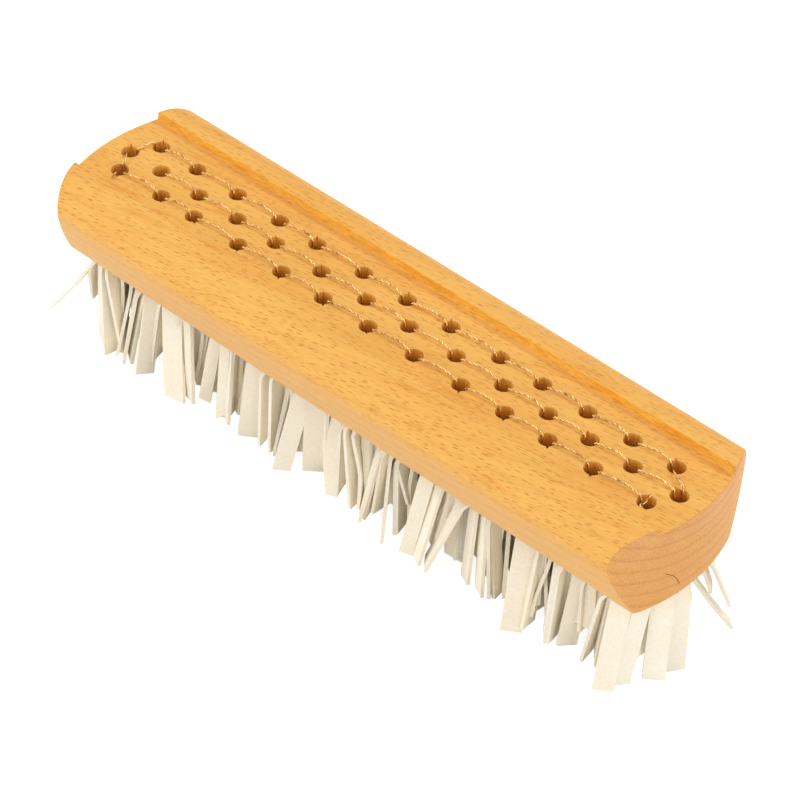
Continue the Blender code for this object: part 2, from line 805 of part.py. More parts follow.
def make_tufts(places, material):
    chance = random.Random(SEED)
    for number, key in enumerate(places):
        levels, drops = lay_out(key, number, places, chance)
        mesh = tuft_mesh(key, places, levels, drops, chance)
        tuft = object_from(f"tuft_{key[0]}_{key[1] + 1:02d}", mesh, material)
        tuft.location.x = BACK_CENTRE_X


def main():
    clear_scene()
    beech = finish("oiled_beech", (0.80, 0.42, 0.13), 0.5)
    rubber = finish("natural_rubber", (0.87, 0.80, 0.66), 0.6)
    brass = finish("brass_wire", (0.78, 0.57, 0.25), 0.3, 1.0)
    places = hole_places()
    make_back(places, beech)
    make_tufts(places, rubber)
    tube("draw_wire_long", long_wire_points(places), brass)
    tube("draw_wire_near", near_wire_points(places), brass)


main()
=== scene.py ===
"""Lint brush: what the eye sees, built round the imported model.

Metres, +Z up, +X along the back. The brush stands on the tips of its rubber strips at z = 0.
"""

import logging
import math
from dataclasses import dataclass, field
from enum import Enum

import bpy
import numpy as np
from bpy.types import Material, Node, NodeTree, Object
from bpy.types import NodeSocket as Socket
from mathutils import Matrix, Vector

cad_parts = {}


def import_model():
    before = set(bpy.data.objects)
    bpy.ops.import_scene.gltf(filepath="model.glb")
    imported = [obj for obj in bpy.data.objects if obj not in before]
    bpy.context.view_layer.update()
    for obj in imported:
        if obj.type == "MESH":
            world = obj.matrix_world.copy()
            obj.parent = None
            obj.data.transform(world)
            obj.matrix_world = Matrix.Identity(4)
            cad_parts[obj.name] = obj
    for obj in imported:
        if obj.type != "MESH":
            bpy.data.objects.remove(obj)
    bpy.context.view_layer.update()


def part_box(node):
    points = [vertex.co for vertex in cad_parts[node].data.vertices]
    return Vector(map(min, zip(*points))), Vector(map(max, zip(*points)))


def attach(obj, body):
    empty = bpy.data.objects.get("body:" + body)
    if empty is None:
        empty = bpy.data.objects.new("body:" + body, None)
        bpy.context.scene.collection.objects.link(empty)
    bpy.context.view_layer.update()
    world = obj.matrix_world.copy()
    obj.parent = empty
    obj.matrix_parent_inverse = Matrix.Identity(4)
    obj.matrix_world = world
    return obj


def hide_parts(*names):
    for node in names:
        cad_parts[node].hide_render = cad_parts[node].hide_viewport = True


LOG = logging.getLogger("lint_brush")

# Types that come up often.
Array = np.ndarray
Arrays = tuple[Array, Array, Array]
Pair = tuple[float, float]
Triple = tuple[float, float, float]


class Row(Enum):
    """The three rows of holes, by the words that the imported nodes' names use."""

    FAR = "far"
    MIDDLE = "middle"
    NEAR = "near"


HoleKey = tuple[Row, int]


class Band(Enum):
    """The surfaces of the beech back that get their own finish. The step's deeper orange is painted warm
    shade; the end grain and the bores differ in how the cutter left them.
    """

    PLANED = 0
    STEP = 1
    END_GRAIN = 2
    BORE = 3


def linear(red: float, green: float, blue: float) -> Triple:
    """A colour as the eye names it, 0 to 255, turned to the linear light that shaders work in.

    c is value / 255, and the light is ((c + 0.055) / 1.055) ** 2.4, or c / 12.92 where c is small.

    Args:
        red: Red, 0 to 255.
        green: Green, 0 to 255.
        blue: Blue, 0 to 255.

    Returns:
        The three linear values, 0 to 1.
    """
    shares = np.array((red, green, blue)) / 255
    light = np.where(shares > 0.04045, ((shares + 0.055) / 1.055) ** 2.4, shares / 12.92)
    return tuple(float(value) for value in light)


def unit(vectors: Array) -> Array:
    """Each vector over its own length."""
    return vectors / np.maximum(np.linalg.norm(vectors, axis=-1, keepdims=True), 1e-12)


def eased(share: Array) -> Array:
    """A share that starts and ends gently: 3 s^2 - 2 s^3, with s held between 0 and 1."""
    held = np.clip(share, 0, 1)
    return held * held * (3 - 2 * held)


def curve_through(points: Array, first_way: Array, count: int) -> Array:
    """A line through a few points, evenly sampled, that is straight from the second to the third.

    Each stretch is the cubic h00 p0 + h10 d m0 + h01 p1 + h11 d m1, where d is the stretch's
    length, and m0 and m1 are the slopes at its ends.

    Args:
        points: The points, one row each, at least three.
        first_way: The unit direction in which the line leaves the first point.
        count: How many samples.

    Returns:
        The samples, one row each.
    """
    chord = np.concatenate(((0,), np.cumsum(np.linalg.norm(np.diff(points, axis=0), axis=1))))
    slopes = np.gradient(points, chord, axis=0)
    slopes[0] = first_way
    slopes[1] = unit(points[2] - points[1])
    at = np.linspace(0, chord[-1], count)
    stretch = np.clip(np.searchsorted(chord, at, side="right") - 1, 0, len(points) - 2)
    length = (chord[stretch + 1] - chord[stretch])[:, None]
    share = (at - chord[stretch])[:, None] / length
    squared, cubed = share**2, share**3
    return (
        (2 * cubed - 3 * squared + 1) * points[stretch]
        + (cubed - 2 * squared + share) * length * slopes[stretch]
        + (3 * squared - 2 * cubed) * points[stretch + 1]
        + (cubed - squared) * length * slopes[stretch + 1]
    )


def corner_cut(points: Array, rounds: int) -> Array:
    """A path with its corners cut, so that it bends and never swings past them.

    Each round puts two points on every stretch, at a quarter and at three quarters of it.

    Args:
        points: The path, one row a point.
        rounds: How many times the corners are cut.

    Returns:
        The softened path.
    """
    for _ in range(rounds):
        quarter = points[:-1] * 0.75 + points[1:] * 0.25
        three = points[:-1] * 0.25 + points[1:] * 0.75
        inner = np.stack((quarter, three), axis=1).reshape(-1, points.shape[1])
        points = np.concatenate((points[:1], inner, points[-1:]))
    return points


def evenly_spaced(points: Array, step: float) -> Array:
    """The same path with a sample about every step of its length."""
    lengths = np.concatenate(((0,), np.cumsum(np.linalg.norm(np.diff(points, axis=0), axis=1))))
    count = max(2, round(lengths[-1] / step) + 1)
    at = np.linspace(0, lengths[-1], count)
    return np.stack([np.interp(at, lengths, points[:, axis]) for axis in range(3)], axis=1)


def quad_grid(rows: int, columns: int) -> Array:
    """Corner numbers of the quads of a grid whose points are numbered row by row.

    Args:
        rows: Points down the grid.
        columns: Points across it, of which the last joins the first.

    Returns:
        One row of four numbers a quad.
    """
    row = np.arange(rows - 1)[:, None]
    column = np.arange(columns)[None, :]
    following = (column + 1) % columns
    first, second = row * columns + column, row * columns + following
    third, fourth = (row + 1) * columns + following, (row + 1) * columns + column
    return np.stack((first, second, third, fourth), axis=-1).reshape(-1, 4)


def made_object(
    name: str,
    points: Array,
    faces: list,
    materials: list[Material],
    face_slots: Array | None = None,
    smooth_below: float = 40.0,
) -> Object:
    """An object at the origin with its place in its mesh, shaded smooth but for sharp edges.

    Args:
        name: The piece's name.
        points: Corner places, one row each.
        faces: Corner numbers of each face.
        materials: What the material slots hold.
        face_slots: Slot number of each face, where there is more than one slot.
        smooth_below: Edges with a smaller turn than this, in degrees, are shaded smooth.

    Returns:
        The new object, linked to the scene.
    """
    mesh = bpy.data.meshes.new(name)
    mesh.from_pydata(points.tolist(), [], faces)
    for material in materials:
        mesh.materials.append(material)
    if face_slots is not None:
        mesh.polygons.foreach_set("material_index", face_slots.astype(np.int32))
    mesh.polygons.foreach_set("use_smooth", np.ones(len(mesh.polygons), dtype=bool))
    mesh.update()
    mesh.set_sharp_from_angle(angle=math.radians(smooth_below))
    thing = bpy.data.objects.new(name, mesh)
    bpy.context.scene.collection.objects.link(thing)
    return thing


class NodeBench:
    """A node tree on the bench: adds nodes to it and joins them up."""

    def __init__(self, tree: NodeTree) -> None:
        """Takes the tree that the nodes go in."""
        self.tree = tree

    def node(self, kind: str, **settings: object) -> Node:
        """A new node with its own settings."""
        made = self.tree.nodes.new(kind)
        for key, value in settings.items():
            setattr(made, key, value)
        return made

    def fill(self, socket: Socket, value: object) -> None:
        """Joins a socket to an output, or sets it to a plain value."""
        if isinstance(value, Socket):
            self.tree.links.new(value, socket)
        else:
            socket.default_value = value

    def combined(self, x: object, y: object, z: object) -> Socket:
        """A vector from three values."""
        made = self.node("ShaderNodeCombineXYZ")
        for socket, value in zip(made.inputs, (x, y, z)):
            self.fill(socket, value)
        return made.outputs["Vector"]

    def parted(self, vector: Socket) -> tuple[Socket, ...]:
        """The x, y and z of a vector."""
        made = self.node("ShaderNodeSeparateXYZ")
        self.fill(made.inputs["Vector"], vector)
        return tuple(made.outputs)

    def stretched(self, vector: Socket, scale: object) -> Socket:
        """A vector times a scale, axis by axis."""
        return self.vector_math("MULTIPLY", vector, scale)

    def noise(self, vector: Socket, detail: float = 2.0, rough: float = 0.5) -> Socket:
        """Smooth noise from 0 to 1, about a half on average."""
        made = self.node("ShaderNodeTexNoise")
        given = (("Vector", vector), ("Scale", 1.0), ("Detail", detail), ("Roughness", rough))
        for label, value in given:
            self.fill(made.inputs[label], value)
        return made.outputs["Fac"]

    def math(self, operation: str, *values: object) -> Socket:
        """One sum of up to three values."""
        made = self.node("ShaderNodeMath", operation=operation)
        for socket, value in zip(made.inputs, values):
            self.fill(socket, value)
        return made.outputs["Value"]

    def vector_math(self, operation: str, *values: object, output: str = "Vector") -> Socket:
        """One sum of vectors."""
        made = self.node("ShaderNodeVectorMath", operation=operation)
        for socket, value in zip(made.inputs, values):
            self.fill(socket, value)
        return made.outputs[output]

    def span(
        self, value: object, low: object, high: object, to_low: object = 0.0, to_high: object = 1.0
    ) -> Socket:
        """A value moved from one range to another and held inside it."""
        made = self.node("ShaderNodeMapRange", interpolation_type="SMOOTHSTEP")
        labels = ("Value", "From Min", "From Max", "To Min", "To Max")
        for label, number in zip(labels, (value, low, high, to_low, to_high)):
            self.fill(made.inputs[label], number)
        return made.outputs["Result"]

    def mix(self, share: object, first: object, second: object, how: str = "MIX") -> Socket:
        """Two colours blended."""
        made = self.node("ShaderNodeMix", data_type="RGBA", blend_type=how)
        self.fill(made.inputs[0], share)
        self.fill(made.inputs[6], first)
        self.fill(made.inputs[7], second)
        return made.outputs[2]


class Effect(NodeBench):
    """An effect that several finishes share: a node group with named inputs and outputs."""

    def __init__(self, name: str, inputs: tuple[str, ...], outputs: tuple[str, ...]) -> None:
        """Makes the group and its sockets. The first input is a vector, the others are numbers."""
        super().__init__(bpy.data.node_groups.new(name, "ShaderNodeTree"))
        for number, label in enumerate(inputs):
            kind = "NodeSocketFloat" if number else "NodeSocketVector"
            self.tree.interface.new_socket(name=label, in_out="INPUT", socket_type=kind)
        for label in outputs:
            self.tree.interface.new_socket(name=label, in_out="OUTPUT", socket_type="NodeSocketFloat")
        self.given = self.node("NodeGroupInput").outputs
        self.result = self.node("NodeGroupOutput").inputs


class EffectShelf:
    """The shared effects, each built once and placed in every finish that shows it."""

    ring_drift: Triple = (7.0, 55.0, 55.0)
    ring_crest: float = 0.93
    ring_edge: float = 0.95
    fibre_stretch: Triple = (110.0, 2300.0, 2300.0)
    fibre_range: Pair = (0.3, 0.7)
    patch_softness: float = 0.25
    dash_range: Pair = (1.25, 0.45)
    chance_range: Pair = (0.1, 0.95)
    grain_range: Pair = (0.32, 0.72)

    def __init__(self) -> None:
        """Builds all of them."""
        self.growth_lines = self.made_growth_lines()
        self.long_fibres = self.made_long_fibres()
        self.soft_patches = self.made_soft_patches()
        self.ray_flecks = self.made_ray_flecks()
        self.fine_powder = self.made_fine_powder()

    def made_growth_lines(self) -> NodeTree:
        """Growth lines as rings round the pith, which runs along X far above the brush.

        The ring number is (distance to the pith + tilt x) / spacing + slow noise. Each line
        darkens slowly from Start of the ring and ends at once, as summer wood does.

        Returns:
            The group, which puts out a mask.
        """
        names = ("Vector", "Pith Depth", "Pith Height", "Tilt", "Spacing", "Start", "Strength")
        effect = Effect("growth_lines", names, ("Mask",))
        given = effect.given
        x, y, z = effect.parted(given["Vector"])
        beside = effect.math("SUBTRACT", y, given["Pith Depth"])
        below = effect.math("SUBTRACT", z, given["Pith Height"])
        square = effect.math("MULTIPLY_ADD", beside, beside, effect.math("POWER", below, 2.0))
        distance = effect.math("MULTIPLY_ADD", x, given["Tilt"], effect.math("SQRT", square))
        drift = effect.noise(effect.stretched(given["Vector"], self.ring_drift))
        number = effect.math("ADD", effect.math("DIVIDE", distance, given["Spacing"]), drift)
        part = effect.math("FRACT", number)
        rise = effect.span(part, given["Start"], self.ring_crest)
        fall = effect.span(part, self.ring_edge, 1.0, given["Strength"], 0.0)
        effect.fill(effect.result["Mask"], effect.math("MULTIPLY", rise, fall))
        return effect.tree

    def made_long_fibres(self) -> NodeTree:
        """Fine fibres along X: noise drawn out twenty times as long as it is wide.

        Returns:
            The group, which puts out a shade to multiply by and a height.
        """
        effect = Effect("long_fibres", ("Vector", "Contrast"), ("Shade", "Height"))
        fibres = effect.noise(effect.stretched(effect.given["Vector"], self.fibre_stretch), 3, 0.6)
        contrast = effect.given["Contrast"]
        low = effect.math("SUBTRACT", 1.0, contrast)
        high = effect.math("MULTIPLY_ADD", contrast, 0.5, 1.0)
        effect.fill(effect.result["Shade"], effect.span(fibres, *self.fibre_range, low, high))
        effect.fill(effect.result["Height"], fibres)
        return effect.tree

    def made_soft_patches(self) -> NodeTree:
        """Soft patches or streaks: noise drawn out to a length and a width, dark above Start.

        Returns:
            The group, which puts out a mask.
        """
        names = ("Vector", "Length", "Width", "Start", "Strength")
        effect = Effect("soft_patches", names, ("Mask",))
        given = effect.given
        per_length = effect.math("DIVIDE", 1.0, given["Length"])
        per_width = effect.math("DIVIDE", 1.0, given["Width"])
        scale = effect.combined(per_length, per_width, per_width)
        patches = effect.noise(effect.stretched(given["Vector"], scale), 3, 0.55)
        end = effect.math("ADD", given["Start"], self.patch_softness)
        mask = effect.span(patches, given["Start"], end, 0.0, given["Strength"])
        effect.fill(effect.result["Mask"], mask)
        return effect.tree

    def made_ray_flecks(self) -> NodeTree:
        """Ray flecks: short dark dashes along the grain, one to a cell, some of them faint.

        A dash is dark where the vector to the cell's middle, over the half length and the half
        width, is shorter than one.

        Returns:
            The group, which puts out a mask.
        """
        names = ("Vector", "Pitch Along", "Pitch Across", "Half Length", "Half Width", "Strength")
        effect = Effect("ray_flecks", names, ("Mask",))
        given = effect.given
        along, across = given["Pitch Along"], given["Pitch Across"]
        per_cell = effect.combined(
            effect.math("DIVIDE", 1.0, along), effect.math("DIVIDE", 1.0, across), 0.0
        )
        cells = effect.stretched(given["Vector"], per_cell)
        pattern = effect.node("ShaderNodeTexVoronoi", voronoi_dimensions="2D")
        effect.fill(pattern.inputs["Vector"], cells)
        pattern.inputs["Scale"].default_value = 1.0
        apart = effect.vector_math("SUBTRACT", cells, pattern.outputs["Position"])
        shape = effect.combined(
            effect.math("DIVIDE", along, given["Half Length"]),
            effect.math("DIVIDE", across, given["Half Width"]),
            0.0,
        )
        away = effect.vector_math("LENGTH", effect.stretched(apart, shape), output="Value")
        dash = effect.span(away, *self.dash_range)
        chance = effect.node("ShaderNodeSeparateColor")
        effect.fill(chance.inputs["Color"], pattern.outputs["Color"])
        some = effect.span(chance.outputs["Red"], *self.chance_range, 0.0, given["Strength"])
        effect.fill(effect.result["Mask"], effect.math("MULTIPLY", dash, some))
        return effect.tree

    def made_fine_powder(self) -> NodeTree:
        """Fine powder or pores: even noise whose grains have a given size.

        Returns:
            The group, which puts out a shade to multiply by and a height.
        """
        effect = Effect("fine_powder", ("Vector", "Size", "Contrast"), ("Shade", "Height"))
        given = effect.given
        per_grain = effect.math("DIVIDE", 1.0, given["Size"])
        scale = effect.combined(per_grain, per_grain, per_grain)
        grains = effect.noise(effect.stretched(given["Vector"], scale), 2, 0.65)
        low = effect.math("SUBTRACT", 1.0, given["Contrast"])
        high = effect.math("MULTIPLY_ADD", given["Contrast"], 0.7, 1.0)
        effect.fill(effect.result["Shade"], effect.span(grains, *self.grain_range, low, high))
        effect.fill(effect.result["Height"], grains)
        return effect.tree


class MaterialBench(NodeBench):
    """A material on the bench, with its one Principled BSDF."""

    def __init__(self, name: str) -> None:
        """Starts the material."""
        self.material = bpy.data.materials.new(name)
        self.material.use_nodes = True
        super().__init__(self.material.node_tree)
        self.shader = self.tree.nodes["Principled BSDF"]

    def coordinates(self, which: str) -> Socket:
        """The Object or UV coordinates of the piece."""
        return self.node("ShaderNodeTexCoord").outputs[which]

    def attribute(self, name: str) -> Socket:
        """A number that the piece's mesh holds for each point."""
        return self.node("ShaderNodeAttribute", attribute_name=name).outputs["Fac"]

    def placed(self, effect: NodeTree, **values: object) -> bpy.types.bpy_prop_collection:
        """A shared effect placed in this material with its own values.

        Args:
            effect: The effect's node group.
            values: A value or an output for each input, with its words joined by underscores.

        Returns:
            The effect's outputs.
        """
        made = self.node("ShaderNodeGroup", node_tree=effect)
        for key, value in values.items():
            self.fill(made.inputs[key.replace("_", " ").title()], value)
        return made.outputs

    def shaded(self, colour: Socket, shade: Socket) -> Socket:
        """A colour multiplied by a shade."""
        return self.mix(1.0, colour, shade, "MULTIPLY")

    def finished(self, look: dict[str, object], height: Socket, deep: float, strength: float) -> Material:
        """Gives the shader its values and a small relief.

        Args:
            look: What each of the shader's sockets takes.
            height: The relief's height map.
            deep: How deep it is.
            strength: How much of it shows.

        Returns:
            The material.
        """
        made = self.node("ShaderNodeBump")
        for label, value in (("Height", height), ("Distance", deep), ("Strength", strength)):
            self.fill(made.inputs[label], value)
        for label, value in (look | {"Normal": made.outputs["Normal"]}).items():
            self.fill(self.shader.inputs[label], value)
        return self.material


def solid(colour: Triple) -> tuple[float, float, float, float]:
    """A colour named 0 to 255 as the linear, opaque colour that a socket takes."""
    return (*linear(*colour), 1.0)


@dataclass(frozen=True)
class BeechFinish:
    """Oiled beech. One finish for each band of the back, with the grain running on through them."""

    name: str
    colour: Triple = (244, 184, 93)
    patch_colour: Triple = (238, 168, 74)
    streak_colour: Triple = (224, 142, 52)
    low_colour: Triple = (237, 182, 106)
    line_colour: Triple = (214, 140, 62)
    fleck_colour: Triple = (186, 108, 38)
    patch_share: float = 0.45
    patch_size: Pair = (0.05, 0.0083)
    patch_start: float = 0.4
    streak_share: float = 0.6
    streak_size: Pair = (0.014, 0.0021)
    streak_start: float = 0.54
    low_heights: Pair = (0.053, 0.046)
    line_share: float = 0.14
    line_start: float = 0.4
    fibre_share: float = 0.07
    fleck_share: float = 0.95
    low_fleck_share: float = 0.25
    roughness: float = 0.55
    specular: float = 0.22
    pith: Pair = (0.008, 0.12)
    ring_tilt: float = 0.035
    ring_spacing: float = 0.0033
    fleck_pitch: Pair = (0.0023, 0.0008)
    fleck_half: Pair = (0.0009, 0.000095)
    grain_slope: float = 0.17
    relief: float = 0.0001
    relief_strength: float = 0.22

    def wood(self, bench: MaterialBench, shelf: EffectShelf) -> Socket:
        """The colour of the wood with its patches, streaks, growth lines and fibres.

        Below the arris it passes gently into its low colour: a paler one where the planed wood is less
        oiled, a slightly darker one towards the bottom of the end grain, and painted shade down the
        bores.

        Args:
            bench: The material in the making.
            shelf: The shared effects.

        Returns:
            The colour.
        """
        place = self.along_grain(bench, "Object")
        colour = solid(self.colour)
        for size, start, share, tint in (
            (self.patch_size, self.patch_start, self.patch_share, self.patch_colour),
            (self.streak_size, self.streak_start, self.streak_share, self.streak_colour),
        ):
            patches = bench.placed(
                shelf.soft_patches,
                vector=place,
                length=size[0],
                width=size[1],
                start=start,
                strength=share,
            )
            colour = bench.mix(patches["Mask"], colour, solid(tint))
        colour = bench.mix(self.lowness(bench), colour, solid(self.low_colour))
        rings = bench.placed(
            shelf.growth_lines,
            vector=place,
            pith_depth=self.pith[0],
            pith_height=self.pith[1],
            tilt=self.ring_tilt,
            spacing=self.ring_spacing,
            start=self.line_start,
            strength=self.line_share,
        )["Mask"]
        colour = bench.mix(rings, colour, solid(self.line_colour))
        fibres = bench.placed(shelf.long_fibres, vector=place, contrast=self.fibre_share)
        return bench.shaded(colour, fibres["Shade"])

    def along_grain(self, bench: MaterialBench, which: str) -> Socket:
        """Object or UV coordinates, sheared so that X follows the grain, which runs askew in the bar."""
        x, y, z = bench.parted(bench.coordinates(which))
        return bench.combined(x, bench.math("MULTIPLY_ADD", x, -self.grain_slope, y), z)

    def lowness(self, bench: MaterialBench) -> Socket:
        """How far a place is below the arris, 0 to 1."""
        height = bench.parted(bench.coordinates("Object"))[2]
        return bench.span(height, *self.low_heights)

    def finish(self, bench: MaterialBench, colour: object, height: object) -> Material:
        """Sets the shader and hands the material over.

        Args:
            bench: The material in the making.
            colour: Its colour.
            height: Its relief.

        Returns:
            The material.
        """
        look = {"Base Color": colour, "Roughness": self.roughness, "Specular IOR Level": self.specular}
        return bench.finished(look, height, self.relief, self.relief_strength)

    def made(self, shelf: EffectShelf) -> Material:
        """The finish of a surface cut along the grain, with ray flecks.

        Args:
            shelf: The shared effects.

        Returns:
            The material.
        """
        bench = MaterialBench(self.name)
        colour = self.wood(bench, shelf)
        flecks = bench.placed(
            shelf.ray_flecks,
            vector=self.along_grain(bench, "UV"),
            pitch_along=self.fleck_pitch[0],
            pitch_across=self.fleck_pitch[1],
            half_length=self.fleck_half[0],
            half_width=self.fleck_half[1],
            strength=self.fleck_share,
        )["Mask"]
        fade = bench.span(self.lowness(bench), 0.0, 1.0, 1.0, self.low_fleck_share)
        flecks = bench.math("MULTIPLY", flecks, fade)
        colour = bench.mix(flecks, colour, solid(self.fleck_colour))
        place = self.along_grain(bench, "Object")
        fibres = bench.placed(shelf.long_fibres, vector=place, contrast=0.0)
        height = bench.math("MULTIPLY_ADD", flecks, -1.0, fibres["Height"])
        return self.finish(bench, colour, height)


@dataclass(frozen=True)
class EndGrainFinish(BeechFinish):
    """Beech sawn across the grain: fine pores, thin growth lines and one drying crack."""

    pore_size: float = 0.00028
    pore_share: float = 0.15
    crack_middle: Pair = (-0.02, 0.0298)
    crack_radius: float = 0.0168
    crack_depths: Pair = (-0.0106, -0.0042)
    crack_half_width: float = 0.00016
    crack_wander: float = 0.0009
    crack_ripple: Triple = (300.0, 300.0, 300.0)
    crack_relief: float = -3.0
    crack_colour: Triple = (126, 74, 36)

    def crack(self, bench: MaterialBench, place: Socket) -> Socket:
        """A thin curved crack at the end with the wire's free end.

        It is dark where | distance to its middle + noise - radius | is under its half width,
        between two places across the brush, and where x is above 0.

        Args:
            bench: The material in the making.
            place: The Object coordinates.

        Returns:
            A mask.
        """
        x, y, z = bench.parted(place)
        beside = bench.math("SUBTRACT", y, self.crack_middle[0])
        above = bench.math("SUBTRACT", z, self.crack_middle[1])
        square = bench.math("MULTIPLY_ADD", beside, beside, bench.math("POWER", above, 2.0))
        wander = bench.noise(bench.stretched(place, self.crack_ripple))
        away = bench.math("MULTIPLY_ADD", wander, self.crack_wander, bench.math("SQRT", square))
        middle = self.crack_radius + self.crack_wander / 2
        off = bench.math("ABSOLUTE", bench.math("SUBTRACT", away, middle))
        line = bench.span(off, self.crack_half_width, self.crack_half_width / 4)
        start, end = self.crack_depths
        fade = (end - start) / 5
        line = bench.math("MULTIPLY", line, bench.span(y, start, start + fade))
        line = bench.math("MULTIPLY", line, bench.span(y, end, end - fade))
        line = bench.math("MULTIPLY", line, bench.math("GREATER_THAN", above, 0.0))
        return bench.math("MULTIPLY", line, bench.math("GREATER_THAN", x, 0.0))

    def made(self, shelf: EffectShelf) -> Material:
        """The finish of the sawn ends.

        Args:
            shelf: The shared effects.

        Returns:
            The material.
        """
        bench = MaterialBench(self.name)
        colour = self.wood(bench, shelf)
        place = bench.coordinates("Object")
        pores = bench.placed(
            shelf.fine_powder, vector=place, size=self.pore_size, contrast=self.pore_share
        )
        colour = bench.shaded(colour, pores["Shade"])
        crack = self.crack(bench, place)
        colour = bench.mix(crack, colour, solid(self.crack_colour))
        height = bench.math("MULTIPLY_ADD", crack, self.crack_relief, pores["Height"])
        return self.finish(bench, colour, height)


@dataclass(frozen=True)
class BoreFinish(BeechFinish):
    """Beech inside a drilled hole: streaked along the drill, paler where the rim is torn, and darkened
    with depth by painted shade.
    """

    # The dark colour serves the drill streaks and bands, and the painted shade down the hole.
    dark_colour: Triple = (104, 54, 20)
    rim_colour: Triple = (236, 184, 112)
    streak_stretch: Triple = (1500.0, 1500.0, 90.0)
    streak_range: Pair = (0.5, 0.75)
    drill_share: float = 0.4
    band_stretch: Triple = (220.0, 220.0, 2600.0)
    band_range: Pair = (0.5, 0.8)
    band_share: float = 0.3
    floor_z: float = 0.0558
    rim_depth: float = 0.00045
    rim_share: float = 0.8
    # Painted shade down the hole starts at the first of these depths below the floor, is full at the
    # second, and reaches the dark colour by the share.
    shade_start_depth: float = 0.0015
    full_shade_depth: float = 0.0086
    dark_share: float = 0.7

    def made(self, shelf: EffectShelf) -> Material:
        """The finish of the holes' walls.

        Args:
            shelf: The shared effects.

        Returns:
            The material.
        """
        bench = MaterialBench(self.name)
        colour = self.wood(bench, shelf)
        place = bench.coordinates("Object")
        streaks = bench.noise(bench.stretched(place, self.streak_stretch), 2, 0.6)
        bands = bench.noise(bench.stretched(place, self.band_stretch), 2, 0.5)
        # light is the height at which the painted shade begins.
        height, light = bench.parted(place)[2], self.floor_z - self.shade_start_depth
        for value, low, high, share, tint in (
            (streaks, *self.streak_range, self.drill_share, self.dark_colour),
            (bands, *self.band_range, self.band_share, self.dark_colour),
            # Painted shade: darker further down the hole.
            (height, light, self.floor_z - self.full_shade_depth, self.dark_share, self.dark_colour),
            (height, self.floor_z - self.rim_depth, self.floor_z, self.rim_share, self.rim_colour),
        ):
            colour = bench.mix(bench.span(value, low, high, 0.0, share), colour, solid(tint))
        return self.finish(bench, colour, streaks)


@dataclass(frozen=True)
class RubberFinish:
    """Natural rubber sheet: cream, matt and lightly powdered, with painted shade that deepens towards its
    root.
    """

    name: str = "natural_rubber"
    colour: Triple = (255, 248, 230)
    # The deep colour serves both the strips' own random tone and the painted shade at the root.
    deep_tone_and_shade_colour: Triple = (228, 200, 150)
    tone_share: float = 0.14
    cloud_share: float = 0.1
    root_shade_share: float = 0.45
    powder_size: float = 0.0007
    powder_share: float = 0.035
    cloud_stretch: Triple = (120.0, 120.0, 120.0)
    cloud_range: Pair = (0.3, 0.8)
    powder_range: Pair = (0.3, 0.7)
    roughness_range: Pair = (0.62, 0.8)
    specular: float = 0.25
    glow_through: float = 0.12
    glow_radius: Triple = (1.0, 0.75, 0.45)
    glow_scale: float = 0.0006
    relief: float = 0.00004
    relief_strength: float = 0.2

    def made(self, shelf: EffectShelf) -> Material:
        """The material. It reads each strip's own tone, and how near the root a point is, for the painted
        shade there.

        Args:
            shelf: The shared effects.

        Returns:
            The material.
        """
        bench = MaterialBench(self.name)
        place = bench.coordinates("Object")
        clouds = bench.noise(bench.stretched(place, self.cloud_stretch), 3, 0.6)
        cloudy = bench.span(clouds, *self.cloud_range, 0.0, self.cloud_share)
        warmth = bench.math("MULTIPLY_ADD", bench.attribute("tone"), self.tone_share, cloudy)
        colour = bench.mix(warmth, solid(self.colour), solid(self.deep_tone_and_shade_colour))
        # Painted shade: towards the root, where the strips crowd together, the colour runs into the deep
        # colour.
        root = bench.math("MULTIPLY", bench.attribute("depth"), self.root_shade_share)
        colour = bench.mix(root, colour, solid(self.deep_tone_and_shade_colour))
        powder = bench.placed(
            shelf.fine_powder, vector=place, size=self.powder_size, contrast=self.powder_share
        )
        colour = bench.shaded(colour, powder["Shade"])
        look = {
            "Base Color": colour,
            "Roughness": bench.span(powder["Height"], *self.powder_range, *self.roughness_range),
            "Specular IOR Level": self.specular,
            "Subsurface Weight": self.glow_through,
            "Subsurface Radius": self.glow_radius,
            "Subsurface Scale": self.glow_scale,
        }
        return bench.finished(look, powder["Height"], self.relief, self.relief_strength)


@dataclass(frozen=True)
class BrassFinish:
    """Drawn brass, pale and a little dull, uneven along the strand."""

    name: str = "brass_wire"
    colour: Triple = (240, 200, 130)
    dark_colour: Triple = (146, 92, 38)
    patch_size: float = 0.0016
    patch_range: Pair = (0.4, 0.75)
    dark_share: float = 0.9
    dull_limit: float = 0.7
    roughness_range: Pair = (0.28, 0.42)

    def made(self, shelf: EffectShelf) -> Material:
        """The material.

        Args:
            shelf: The shared effects.

        Returns:
            The material.
        """
        bench = MaterialBench(self.name)
        place = bench.coordinates("Object")
        patches = bench.placed(shelf.fine_powder, vector=place, size=self.patch_size, contrast=0.0)
        dull = bench.span(patches["Height"], *self.patch_range, 0.0, self.dark_share)
        colour = bench.mix(dull, solid(self.colour), solid(self.dark_colour))
        bench.fill(bench.shader.inputs["Base Color"], colour)
        rough = bench.span(dull, 0.0, self.dull_limit, *self.roughness_range)
        bench.fill(bench.shader.inputs["Roughness"], rough)
        bench.shader.inputs["Metallic"].default_value = 1.0
        return bench.material


